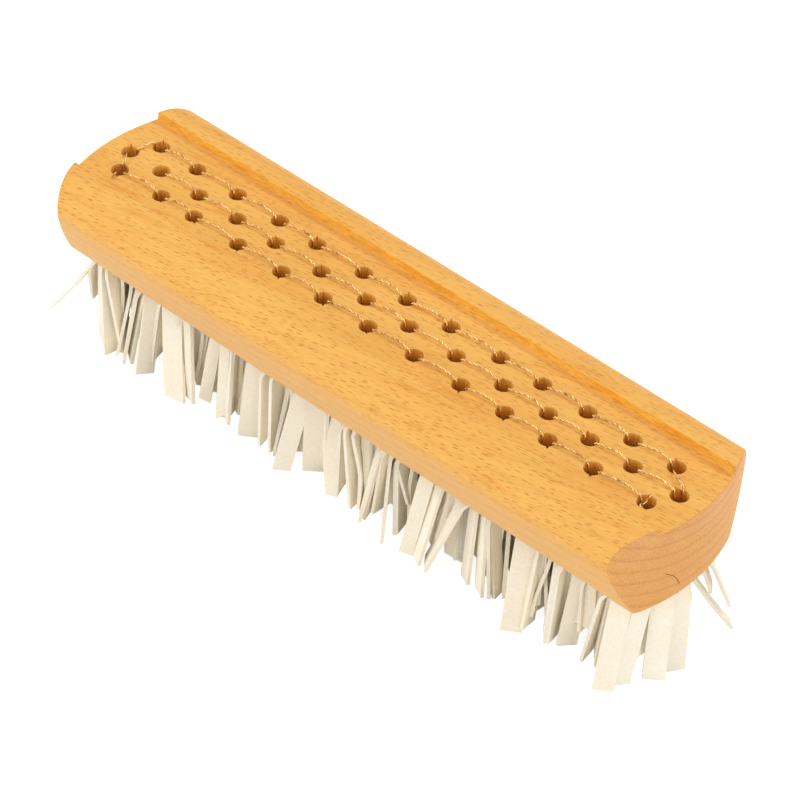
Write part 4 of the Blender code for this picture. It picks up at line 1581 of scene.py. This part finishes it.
SEEN_STRIPS = (
    SeenStrip(out=(92.5, 263.5), tip=(55.1, 304), height=0.0058, face=104, wide=0.9, by=(72.9, 287.4)),
    SeenStrip(out=(95, 268), tip=(98, 292), height=0.012, face=100),
    SeenStrip(out=(101.4, 265.7), tip=(102.2, 337.8), height=0.002, face=-30, wide=0.9),
    SeenStrip(out=(108, 270), tip=(111.8, 351.5), height=0.0012, face=84, wide=0.95),
    SeenStrip(out=(112, 270), tip=(127, 347), height=0.003, face=100),
    SeenStrip(out=(132, 286.4), tip=(118, 351), height=0.002, face=-52),
    SeenStrip(out=(137, 291.4), tip=(124.6, 356.5), height=0.0015, face=-48),
    SeenStrip(out=(142, 292), tip=(130.4, 356.5), height=0.002, face=-34),
    SeenStrip(out=(153.6, 300.3), tip=(144.5, 372.9), height=0.001, face=60, wide=0.92),
    SeenStrip(out=(162.7, 306.3), tip=(156.5, 356), height=0.0045, face=105),
    SeenStrip(out=(172.7, 312.4), tip=(174.6, 400), height=0.0006, face=5, wide=1.2, slant=0.1),
    SeenStrip(out=(188.5, 323.2), tip=(190.5, 399.5), height=0.002, face=-22, wide=0.8),
    SeenStrip(out=(198.8, 329), tip=(203, 372), height=0.007, face=95),
    SeenStrip(out=(204.6, 334), tip=(191, 384.5), height=0.0035, face=-60, by=(200.5, 362)),
    SeenStrip(out=(208.8, 339.7), tip=(198.8, 375.4), height=0.0065, face=112),
    SeenStrip(out=(215.4, 341.4), tip=(204.6, 400.3), height=0.0025, face=30, wide=0.6, slant=0.3),
    SeenStrip(out=(225.4, 347.2), tip=(220.6, 420), height=0.0015, face=22, wide=0.5, slant=-0.9),
    SeenStrip(out=(231, 350.8), tip=(226.5, 420), height=0.0025, face=-30, wide=0.8),
    SeenStrip(out=(236.9, 355.8), tip=(231.9, 412), height=0.004, face=108),
    SeenStrip(out=(246, 363), tip=(236, 407.8), height=0.005, face=-30),
    SeenStrip(out=(256.4, 366.5), tip=(247.7, 435.4), height=0.001, face=40),
    SeenStrip(out=(268, 375.7), tip=(266.3, 441), height=0.002, face=88, slant=0.4),
    SeenStrip(out=(276.7, 379.8), tip=(275, 447), height=0.003, face=98),
    SeenStrip(out=(287.9, 388.9), tip=(275, 449.9), height=0.0018, face=-50),
    SeenStrip(out=(291.2, 391.4), tip=(278.8, 447.8), height=0.003, face=105),
    SeenStrip(out=(296, 393), tip=(296, 416), height=0.015, face=108),
    SeenStrip(out=(302, 397), tip=(281, 470.6), height=0.0008, face=36, wide=0.9, slant=-0.2),
    SeenStrip(out=(315.7, 406.6), tip=(313.2, 470.3), height=0.0022, face=42, wide=1.05),
    SeenStrip(out=(327, 415), tip=(325, 468), height=0.0045, face=-44),
    SeenStrip(out=(337.2, 420.7), tip=(331.4, 495.1), height=0.0012, face=15, wide=0.62, by=(331, 459)),
    SeenStrip(out=(345.5, 426.5), tip=(342, 489), height=0.002, face=100, slant=0.5),
    SeenStrip(out=(350.5, 428.1), tip=(355.5, 503), height=0.0022, face=97),
    SeenStrip(out=(356.7, 432.3), tip=(361.5, 503), height=0.003, face=112, by=(363.7, 472.9)),
    SeenStrip(out=(370.8, 440.5), tip=(372, 461), height=0.015, face=-50),
    SeenStrip(out=(379.5, 448), tip=(360.4, 514.4), height=0.0014, face=-52),
    SeenStrip(out=(384.9, 451.4), tip=(369, 513), height=0.0016, face=100, slant=0.4),
    SeenStrip(out=(389, 454), tip=(380, 508), height=0.0045, face=85),
    SeenStrip(out=(390.7, 455.5), tip=(382.3, 537), height=0.0006, face=-52),
    SeenStrip(out=(398, 460.7), tip=(396.8, 527.8), height=0.0028, face=118),
    SeenStrip(out=(401.8, 463.2), tip=(401.5, 527), height=0.0036, face=104),
    SeenStrip(out=(403, 462), tip=(413, 498), height=0.013, face=100),
    SeenStrip(out=(427.1, 479), tip=(406, 553.5), height=0.001, face=17, wide=0.72, slant=-0.2),
    SeenStrip(out=(437.9, 487.2), tip=(415.5, 558.5), height=0.0012, face=-28, wide=0.95),
    SeenStrip(out=(447.8, 491.4), tip=(440.4, 535.3), height=0.0065, face=-46, by=(437.5, 517)),
    SeenStrip(out=(456, 499.6), tip=(444, 540), height=0.008, face=66),
    SeenStrip(out=(462, 503), tip=(425.8, 563.7), height=0.0014, face=-50),
    SeenStrip(out=(468.9, 508.2), tip=(459.8, 558.8), height=0.0045, face=58, wide=0.64),
    SeenStrip(out=(473.9, 510.7), tip=(465.2, 579.5), height=0.0016, face=-26, wide=0.7),
    SeenStrip(out=(483.8, 517.3), tip=(479.3, 592), height=0.0014, face=-30, wide=0.8),
    SeenStrip(out=(489.2, 520.6), tip=(489.7, 592), height=0.002, face=125),
    SeenStrip(out=(494, 520.6), tip=(498, 594), height=0.0018, face=98, wide=0.8),
    SeenStrip(out=(508.7, 533), tip=(503.7, 592), height=0.0035, face=-50),
    SeenStrip(out=(526.1, 543), tip=(510.7, 630.5), height=0.0006, face=38, wide=1.02),
    SeenStrip(out=(542.2, 553.7), tip=(527, 624.5), height=0.0018, face=96),
    SeenStrip(out=(551.4, 560), tip=(534, 610), height=0.005, face=112, by=(537.5, 596)),
    SeenStrip(out=(556, 565), tip=(544.7, 635.3), height=0.0016, face=-52),
    SeenStrip(out=(563.8, 568), tip=(553, 637), height=0.002, face=98),
    SeenStrip(out=(582, 579.4), tip=(566.3, 644), height=0.0016, face=55, wide=0.95),
    SeenStrip(out=(588, 586), tip=(585, 626), height=0.007, face=92),
    SeenStrip(out=(600.6, 590), tip=(587.4, 624), height=0.009, face=20, wide=0.5),
    SeenStrip(out=(606, 594), tip=(586, 655), height=0.0016, face=98),
    SeenStrip(out=(609, 596), tip=(595.7, 658), height=0.003, face=-50),
    SeenStrip(out=(621.4, 603), tip=(602.5, 689.6), height=0.0006, face=38),
    SeenStrip(out=(641.3, 608), tip=(620.5, 683.6), height=0.0016, face=58, wide=0.85),
    SeenStrip(out=(643, 614), tip=(642, 652.5), height=0.0075, face=88, row=Row.MIDDLE),
    SeenStrip(out=(662.8, 603.2), tip=(653.3, 678.6), height=0.001, face=42, wide=1.05, row=Row.MIDDLE),
    SeenStrip(out=(682.2, 593), tip=(674.8, 669.3), height=0.001, face=55, wide=0.9, row=Row.MIDDLE),
    SeenStrip(out=(687.7, 588), tip=(687.8, 613.8), height=0.01, face=-58, wide=0.8, row=Row.FAR),
    SeenStrip(
        out=(696.3, 581.5), tip=(730.1, 623.6), height=0.006, face=-36, wide=0.7, row=Row.FAR,
        by=(710.6, 600.7),
    ),
    SeenStrip(out=(706.2, 572.4), tip=(710.8, 586.9), height=0.017, face=-52, wide=0.8, row=Row.FAR),
    SeenStrip(out=(713.3, 564.9), tip=(728.6, 601.4), height=0.013, face=-44, wide=0.75, row=Row.FAR),
)


@dataclass
class StripEnd:
    """One strip from the mouth of its hole to its tip."""

    points: Array
    face: float
    wide: float
    slant: float
    tone: float


@dataclass
class RubberTufts:
    """The tufts: strips of sheet rubber, folded in half over the wire in each hole."""

    wire: DrawWire
    camera: PictureCamera
    under_z: float
    strip_width: float = 0.005
    strip_thickness: float = 0.00085
    ends_in_tuft: int = 8
    pinched_thickness: float = 0.00036
    stack_half: float = 0.0014
    full_width_drop: float = 0.008
    first_drop: float = 0.0005
    crowd_cost: float = 0.000275
    lean_cost: float = 0.12
    longest_lean: float = 0.004
    lean_share: float = 0.08
    row_lean: float = 0.002
    tip_spread_along: float = 0.0052
    tip_spread_across: float = 0.0026
    tip_scatter_along: float = 0.0009
    tip_scatter_across: float = 0.0007
    highest_tip: float = 0.0072
    lowest_tip: float = 0.0003
    front_limit: float = -0.008
    right_limit: float = 0.08
    least_turned_share: float = 0.15
    straight_start_share: float = 0.35
    bend_shares: Pair = (0.4, 0.6)
    bow_shares: Pair = (-0.05, 0.12)
    widest_turn: float = 75.0
    widths: Pair = (0.85, 1.0)
    widest_slant: float = 0.4
    bore_share: float = 0.95
    least_chord_share: float = 0.4
    fold_share: float = 0.8
    swell_share: float = 0.25
    shade_share: float = 0.45
    samples: int = 18
    inner_samples: int = 5
    fold_samples: int = 7
    seed: int = 21

    def lie(self, key: HoleKey) -> tuple[Array, Array]:
        """A hole's middle, and the way square to the wire in it."""
        turn = self.wire.loop_turn(*key)
        return self.wire.holes.centre(key), np.array((-math.sin(turn), math.cos(turn)))

    def fan_middle(self, key: HoleKey) -> Array:
        """Where the middle of a tuft's tips is: the outer rows lean outwards."""
        x, y = self.wire.holes.centre(key)
        return np.array((x, y + np.sign(y) * self.row_lean))

    def shown_place(self, pixel: Pair, start: Array, tip: Array) -> tuple[Array, float]:
        """Where a strip passes the line of sight through a pixel, on its straight way to its tip.

        Args:
            pixel: Where the strip shows in the picture.
            start: The mouth of its hole, or the last place on its way.
            tip: Its tip.

        Returns:
            The place, and how far it is from the straight line.
        """
        place, away = self.camera.nearest_to_line(pixel, start, tip)
        if place[2] > self.under_z - self.first_drop:
            place = self.camera.at_height(pixel, self.under_z - self.first_drop)
        return place, away

    def tip_place(self, strip: SeenStrip) -> Array:
        """The place of a seen strip's tip, behind its pixel at its height."""
        return self.camera.at_height(strip.tip, max(strip.height, self.lowest_tip))

    def sorted_strips(self) -> dict[HoleKey, list[SeenStrip]]:
        """Each seen strip under the hole whose straight way to the tip passes its pixel best.

        Returns:
            The strips by row and number of their hole.
        """
        centres = self.wire.holes.centres()
        found = {key: [] for key in centres}
        for strip in SEEN_STRIPS:
            tip = self.tip_place(strip)
            costs = {}
            for key, centre in centres.items():
                if key[0] is (strip.row or Row.NEAR):
                    mouth = np.array((*centre, self.under_z))
                    away = self.shown_place(strip.out, mouth, tip)[1]
                    lean = abs(tip[0] - centre[0])
                    costs[key] = away + lean * self.lean_cost + self.crowd_cost * len(found[key])
            found[min(costs, key=costs.get)].append(strip)
        return found

    def mouth(self, key: HoleKey, rank: int, count: int, lean: float) -> Array:
        """Where an end leaves its hole: ranked through the stack that lies square to the wire.

        Args:
            key: The hole.
            rank: The end's place in the stack.
            count: How many ends are in it.
            lean: How far it stands to the side of the stack's middle, along X.

        Returns:
            The place.
        """
        centre, square = self.lie(key)
        x, y = centre + square * (2 * rank / (count - 1) - 1) * self.stack_half
        return np.array((x + lean, y, self.under_z))

    def hidden_tip(self, key: HoleKey, slot: int, chance: np.random.Generator) -> Array:
        """A tip for a strip that the picture doesn't show, one slot of a loose two by four fan.

        Args:
            key: The hole.
            slot: Which of the eight slots.
            chance: Where the loose differences come from.

        Returns:
            The tip's place.
        """
        middle = self.fan_middle(key)
        column, line = slot % 4, slot // 4
        along = (column - 1.5) / 1.5 * self.tip_spread_along + chance.normal(0, self.tip_scatter_along)
        across = (line - 0.5) * 2 * self.tip_spread_across + chance.normal(0, self.tip_scatter_across)
        height = chance.uniform(self.lowest_tip, self.highest_tip)
        return np.array((min(middle[0] + along, self.right_limit), middle[1] + across, height))

    def ends(self, key: HoleKey, seen: list[SeenStrip], chance: np.random.Generator) -> list[StripEnd]:
        """All ends of one tuft, ranked across the wire by where their tips are.

        Args:
            key: The hole.
            seen: The strips that the picture shows there.
            chance: Where the loose differences of the others come from.

        Returns:
            An even number of ends.
        """
        behind = bool(seen) and key[0] is Row.NEAR
        slots = list(range(self.ends_in_tuft))
        if behind:
            slots = slots[4:] + slots[:4]
        missing = max(self.ends_in_tuft - len(seen), 2)
        missing += (len(seen) + missing) % 2
        plans = [(strip, self.tip_place(strip)) for strip in seen]
        for slot in slots[:missing]:
            tip = self.hidden_tip(key, slot, chance)
            if behind:
                tip[1] = max(tip[1], self.front_limit)
                tip[2] = max(tip[2], self.highest_tip / 2)
            plans.append((None, tip))
        centre, square = self.lie(key)
        plans.sort(key=lambda plan: (plan[1][:2] - centre) @ square)
        ends = []
        for rank, (strip, tip) in enumerate(plans):
            lean = float(np.clip(tip[0] - centre[0], -self.longest_lean, self.longest_lean))
            mouth = self.mouth(key, rank, len(plans), lean * self.lean_share)
            if strip is None:
                bend = mouth + (tip - mouth) * chance.uniform(*self.bend_shares)
                bend[:2] += (tip - mouth)[:2] * chance.uniform(*self.bow_shares)
                points = np.array((mouth, bend, tip))
                face = chance.uniform(-self.widest_turn, self.widest_turn)
                wide = chance.uniform(*self.widths)
                slant = chance.uniform(-self.widest_slant, self.widest_slant)
            else:
                shown = self.shown_place(strip.out, mouth, tip)[0]
                on_way = [] if strip.by is None else [self.shown_place(strip.by, shown, tip)[0]]
                points = np.array([mouth, shown, *on_way, tip])
                face, wide, slant = strip.face, strip.wide, strip.slant
            ends.append(StripEnd(points, face, wide, slant, chance.uniform(0, 1)))
        return ends

    def half_path(self, key: HoleKey, end: StripEnd) -> Arrays:
        """An end's middle line from the mouth to the tip.

        Args:
            key: The hole.
            end: The end.

        Returns:
            The line, and the way of the strip's width and its width at each sample.
        """
        away = unit(end.points[1] - end.points[0])
        first_way = unit(away - np.array((0, 0, self.straight_start_share)))
        line = curve_through(end.points, first_way, self.samples)
        line[:, 2] = np.maximum(line[:, 2], self.lowest_tip)
        down = self.under_z - line[:, 2]
        turn = math.degrees(self.wire.loop_turn(*key))
        swing = (end.face - turn + 90) % 180 - 90
        share = np.linspace(0, 1, self.samples)
        lengths = np.linalg.norm(np.diff(end.points, axis=0), axis=1)
        turned = max(float(lengths[0] / lengths.sum()), self.least_turned_share)
        facing = np.radians(turn + swing * eased(share / turned))
        narrow = self.mouth_width(key, line[0])
        opening = eased(down / self.full_width_drop)
        return line, facing, narrow + (self.strip_width * end.wide - narrow) * opening

    def mouth_width(self, key: HoleKey, point: Array) -> float:
        """The chord of the hole where a strip passes through it, a little less than all of it."""
        centre, square = self.lie(key)
        offset = (point[:2] - centre) @ square
        bore = self.wire.bore_radius() * self.bore_share
        return 2 * math.sqrt(max(bore**2 - offset**2, (bore * self.least_chord_share) ** 2))

    def strip(
        self, key: HoleKey, one: StripEnd, other: StripEnd, nest: int
    ) -> Arrays:
        """One folded strip: tip, up through the hole, over the wire, down, and the other tip.

        The fold is half a ring, middle - reach cos t + height sin t.

        Args:
            key: The hole.
            one: The end on one side of the wire.
            other: The end on its other side.
            nest: How many strips the fold lies over.

        Returns:
            The skin's points, and the tone and the depth of each; the depth drives the painted shade at
            the root.
        """
        line_one, facing_one, width_one = self.half_path(key, one)
        line_two, facing_two, width_two = self.half_path(key, other)
        loop_z = self.wire.floor_z - self.wire.loop_depth
        fold = self.wire.clear() * self.fold_share + nest * self.pinched_thickness
        rise_one = self.rise(key, line_one[0], -fold, loop_z)
        rise_two = self.rise(key, line_two[0], fold, loop_z)
        arc = np.linspace(0, math.pi, self.fold_samples + 2)[1:-1]
        middle = (rise_one[-1] + rise_two[-1]) / 2
        reach = (rise_two[-1] - rise_one[-1]) / 2
        bend = middle - reach * np.cos(arc)[:, None] + np.array((0, 0, fold)) * np.sin(arc)[:, None]
        path = np.concatenate((line_one[::-1], rise_one[1:], bend, rise_two[::-1][:-1], line_two))
        inside = len(path) - 2 * self.samples
        facing = np.concatenate(
            (facing_one[::-1], np.full(inside, self.wire.loop_turn(*key)), facing_two)
        )
        narrow = np.linspace(width_one[0], width_two[0], inside)
        width = np.concatenate((width_one[::-1], narrow, width_two))
        share = np.linspace(0, 1, self.samples)
        outside = np.concatenate((share[::-1], np.zeros(inside), share))
        swell = (self.strip_thickness - self.pinched_thickness) * eased(outside / self.swell_share)
        skin = self.skin(path, facing, width, self.pinched_thickness + swell, one, other)
        tone = np.where(np.arange(len(path)) < len(path) / 2, one.tone, other.tone)
        # Depth is 1 at the root and fades out along the strip; the material paints shade with it.
        depth = 1 - eased(outside / self.shade_share)
        around = len(skin) // len(path)
        return skin, np.repeat(tone, around), np.repeat(depth, around)

    def rise(self, key: HoleKey, mouth: Array, offset: float, loop_z: float) -> Array:
        """The way up inside the hole, from the mouth to beside the wire.

        Args:
            key: The hole.
            mouth: Where the end leaves the hole.
            offset: How far the fold keeps from the wire.
            loop_z: Height of the wire in the hole.

        Returns:
            The points, upwards.
        """
        centre, square = self.lie(key)
        top = np.array((*(centre + square * offset), loop_z))
        share = np.linspace(0, 1, self.inner_samples)[:, None]
        flat = mouth + (top - mouth) * eased(share)
        flat[:, 2] = (mouth[2] + (top[2] - mouth[2]) * share)[:, 0]
        return flat

    def skin(
        self,
        path: Array,
        facing: Array,
        width: Array,
        thick: Array,
        one: StripEnd,
        other: StripEnd,
    ) -> Array:
        """The skin of one strip, six points to a ring, with each cut end slanted as it was cut.

        A ring is middle + a width across + b thickness square, where across is the way of the
        strip's width, held square to the path, and square is the path's way x across.

        Args:
            path: The strip's middle line.
            facing: The way of its width at each sample, in radians.
            width: Its width at each sample.
            thick: Its thickness at each sample.
            one: The end at the path's start.
            other: The end at its finish.

        Returns:
            The points, ring by ring.
        """
        way = unit(np.gradient(path, axis=0))
        across = np.stack((np.cos(facing), np.sin(facing), np.zeros_like(facing)), axis=1)
        across = unit(across - way * np.sum(across * way, axis=1, keepdims=True))
        square = np.cross(way, across)
        places = np.array(((-1, -1), (0, -1), (1, -1), (1, 1), (0, 1), (-1, 1))) / 2
        along_width = places[:, 0][None, :, None] * width[:, None, None] * across[:, None]
        along_thick = places[:, 1][None, :, None] * thick[:, None, None] * square[:, None]
        rings = path[:, None] + along_width + along_thick
        for row, end, sign in ((0, one, -1), (-1, other, 1)):
            cut = places[:, 0] * width[row] * end.slant
            rings[row] += (cut[:, None] - abs(cut).max()) * way[row] * sign
        rings[..., 2] = np.maximum(rings[..., 2], self.lowest_tip / 2)
        return rings.reshape(-1, 3)

    def strip_faces(self, points: int) -> Array:
        """Faces of one strip's closed skin: its sides, then two faces on each cut end."""
        sides = quad_grid(points // 6, 6)[:, ::-1]
        last = points - 6
        start = np.array(((0, 1, 4, 5), (1, 2, 3, 4)))
        return np.concatenate((sides, start, last + start[:, ::-1]))

    def tuft(
        self, key: HoleKey, ends: list[StripEnd], material: Material
    ) -> Object:
        """One tuft as a piece, its strips nested over the wire, with tone and depth at each point; the
        depth is for painted shade at the root.

        Args:
            key: The hole.
            ends: Its ends, ranked across the wire.
            material: What it is made of.

        Returns:
            The piece.
        """
        half = len(ends) // 2
        strips = [self.strip(key, ends[half - 1 - nest], ends[half + nest], nest) for nest in range(half)]
        points, tones, depths = (np.concatenate(parts) for parts in zip(*strips))
        size = len(strips[0][0])
        faces = np.concatenate([self.strip_faces(size) + size * nest for nest in range(half)])
        name = f"rubber_strips_{key[0].value}_{key[1] + 1:02d}"
        piece = made_object(name, points, faces.tolist(), [material])
        for label, values in (("tone", tones), ("depth", depths)):
            layer = piece.data.attributes.new(label, "FLOAT", "POINT")
            layer.data.foreach_set("value", values.astype(np.float32))
        return piece

    def made(self, material: Material) -> dict[HoleKey, Object]:
        """One piece for each tuft.

        Args:
            material: What they are made of.

        Returns:
            The pieces by row and number.
        """
        chance = np.random.default_rng(self.seed)
        seen = self.sorted_strips()
        return {
            key: self.tuft(key, self.ends(key, seen[key], chance), material)
            for key in self.wire.holes.centres()
        }


@dataclass(frozen=True)
class Lamp:
    """One soft square lamp: the way to it, and how much of plain white it gives a facing surface."""

    name: str
    way: Triple
    share: float
    size: float = 0.9


@dataclass
class Studio:
    """White floor, white surroundings and four soft lamps at a plain level."""

    aim: Triple = (0.0, 0.0, 0.03)
    floor_half: float = 3.0
    floor_colour: float = 0.8
    floor_glow: float = 0.8
    lamp_distance: float = 1.6
    sky_strength: float = 0.54
    lamps: tuple[Lamp, ...] = (
        Lamp("key_light", (-0.56, -0.42, 0.7), 0.27, size=0.4),
        Lamp("back_light", (0.1, 0.7, 0.7), 0.28, size=0.4),
        Lamp("right_fill", (0.9, -0.15, 0.3), 0.29),
        Lamp("low_fill", (-0.15, -0.95, 0.1), 0.33),
    )

    def lamp(self, lamp: Lamp) -> None:
        """A square lamp that looks at the brush.

        Its power is pi^2 distance^2 times its share of plain white.

        Args:
            lamp: Which one.
        """
        light = bpy.data.lights.new(lamp.name, "AREA")
        light.shape = "SQUARE"
        light.size = lamp.size
        light.energy = math.pi**2 * self.lamp_distance**2 * lamp.share
        thing = bpy.data.objects.new(lamp.name, light)
        bpy.context.scene.collection.objects.link(thing)
        place = Vector(self.aim) + Vector(lamp.way).normalized() * self.lamp_distance
        thing.location = place
        thing.rotation_euler = (place - Vector(self.aim)).to_track_quat("Z", "Y").to_euler()

    def seen_directly(self, bench: NodeBench) -> Socket:
        """One for the camera's rays and for those that gloss or glass sends, else nought."""
        rays = bench.node("ShaderNodeLightPath").outputs
        glossy = bench.math("MAXIMUM", rays["Is Glossy Ray"], rays["Is Transmission Ray"])
        return bench.math("MAXIMUM", rays["Is Camera Ray"], glossy)

    def sky(self) -> None:
        """Even pale light all round, and plain white where the camera or a gloss looks past."""
        world = bpy.data.worlds.new("studio")
        world.use_nodes = True
        bpy.context.scene.world = world
        bench = NodeBench(world.node_tree)
        backdrop = bench.tree.nodes["Background"]
        backdrop.inputs["Color"].default_value = (1, 1, 1, 1)
        strength = bench.span(self.seen_directly(bench), 0.0, 1.0, self.sky_strength, 1.0)
        bench.fill(backdrop.inputs["Strength"], strength)

    def floor(self) -> Object:
        """A white floor that shows white to the camera but keeps the brush's shadow.

        Returns:
            The floor.
        """
        half = self.floor_half
        corners = np.array(((-half, -half, 0), (half, -half, 0), (half, half, 0), (-half, half, 0)))
        bench = MaterialBench("studio_floor")
        matt = bench.node("ShaderNodeBsdfDiffuse")
        matt.inputs["Color"].default_value = (*(self.floor_colour,) * 3, 1)
        glow = bench.node("ShaderNodeEmission")
        seen = self.seen_directly(bench)
        bench.fill(glow.inputs["Strength"], bench.math("MULTIPLY", seen, self.floor_glow))
        both = bench.node("ShaderNodeAddShader")
        bench.fill(both.inputs[0], matt.outputs[0])
        bench.fill(both.inputs[1], glow.outputs[0])
        bench.fill(bench.tree.nodes["Material Output"].inputs["Surface"], both.outputs[0])
        bench.tree.nodes.remove(bench.shader)
        return made_object("studio_floor", corners, [[0, 1, 2, 3]], [bench.material])

    def made(self) -> None:
        """Sets it all up."""
        self.sky()
        self.floor()
        for lamp in self.lamps:
            self.lamp(lamp)
        bpy.context.scene.view_settings.view_transform = "Standard"
        LOG.info("studio with %d lamps", len(self.lamps))


def beech_finishes(shelf: EffectShelf) -> list[Material]:
    """The beech's materials, in the order of the bands."""
    finishes = {
        Band.PLANED: BeechFinish(name="beech_planed"),
        # The step's deeper, more saturated orange and its heavy dark patches are painted warm shade of
        # the channel's step.
        Band.STEP: BeechFinish(
            name="beech_step",
            colour=(244, 182, 70),
            patch_colour=(236, 160, 46),
            patch_share=0.8,
            patch_size=(0.016, 0.004),
            streak_colour=(250, 198, 100),
            line_colour=(214, 134, 40),
            fibre_share=0.2,
            fleck_share=0.2,
        ),
        Band.END_GRAIN: EndGrainFinish(
            name="beech_end_grain",
            colour=(235, 173, 106),
            patch_colour=(226, 158, 86),
            streak_share=0.0,
            low_colour=(232, 168, 94),
            line_colour=(190, 118, 60),
            line_share=0.26,
            line_start=0.6,
            ring_tilt=0.0,
            grain_slope=0.0,
        ),
        Band.BORE: BoreFinish(
            name="beech_bore",
            colour=(252, 190, 84),
            patch_colour=(246, 172, 62),
            # In the bores the low colour is painted shade that darkens the wall down the hole.
            low_colour=(240, 164, 60),
            line_colour=(214, 136, 52),
        ),
    }
    return [finishes[band].made(shelf) for band in Band]


def dressed(piece: Object, node: str) -> None:
    """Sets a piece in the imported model's place: it rides on the body and stands for the node."""
    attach(piece, "root")
    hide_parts(node)
    LOG.info("%s stands for %s", piece.name, node)


def main() -> None:
    """Builds the brush and the studio."""
    logging.basicConfig(level=logging.INFO, format="%(message)s")
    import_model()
    camera = PictureCamera()
    camera.made()
    shelf = EffectShelf()
    low, high = (np.array(corner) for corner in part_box("beech_back"))
    holes = HolePattern(middle_x=float(low[0] + high[0]) / 2)
    back = BeechBack(low, high, holes)
    dressed(back.made(beech_finishes(shelf)), "beech_back")
    wire = DrawWire(holes, back.floor_z(), float(high[2]))
    brass = BrassFinish().made(shelf)
    dressed(wire.made("wire_pair_long", wire.long_points(), brass), "draw_wire_long")
    dressed(wire.made("wire_pair_near", wire.near_points(), brass), "draw_wire_near")
    tufts = RubberTufts(wire, camera, float(low[2]))
    for (row, number), piece in tufts.made(RubberFinish().made(shelf)).items():
        dressed(piece, f"tuft_{row.value}_{number + 1:02d}")
    Studio().made()


if __name__ == "__main__":
    main()
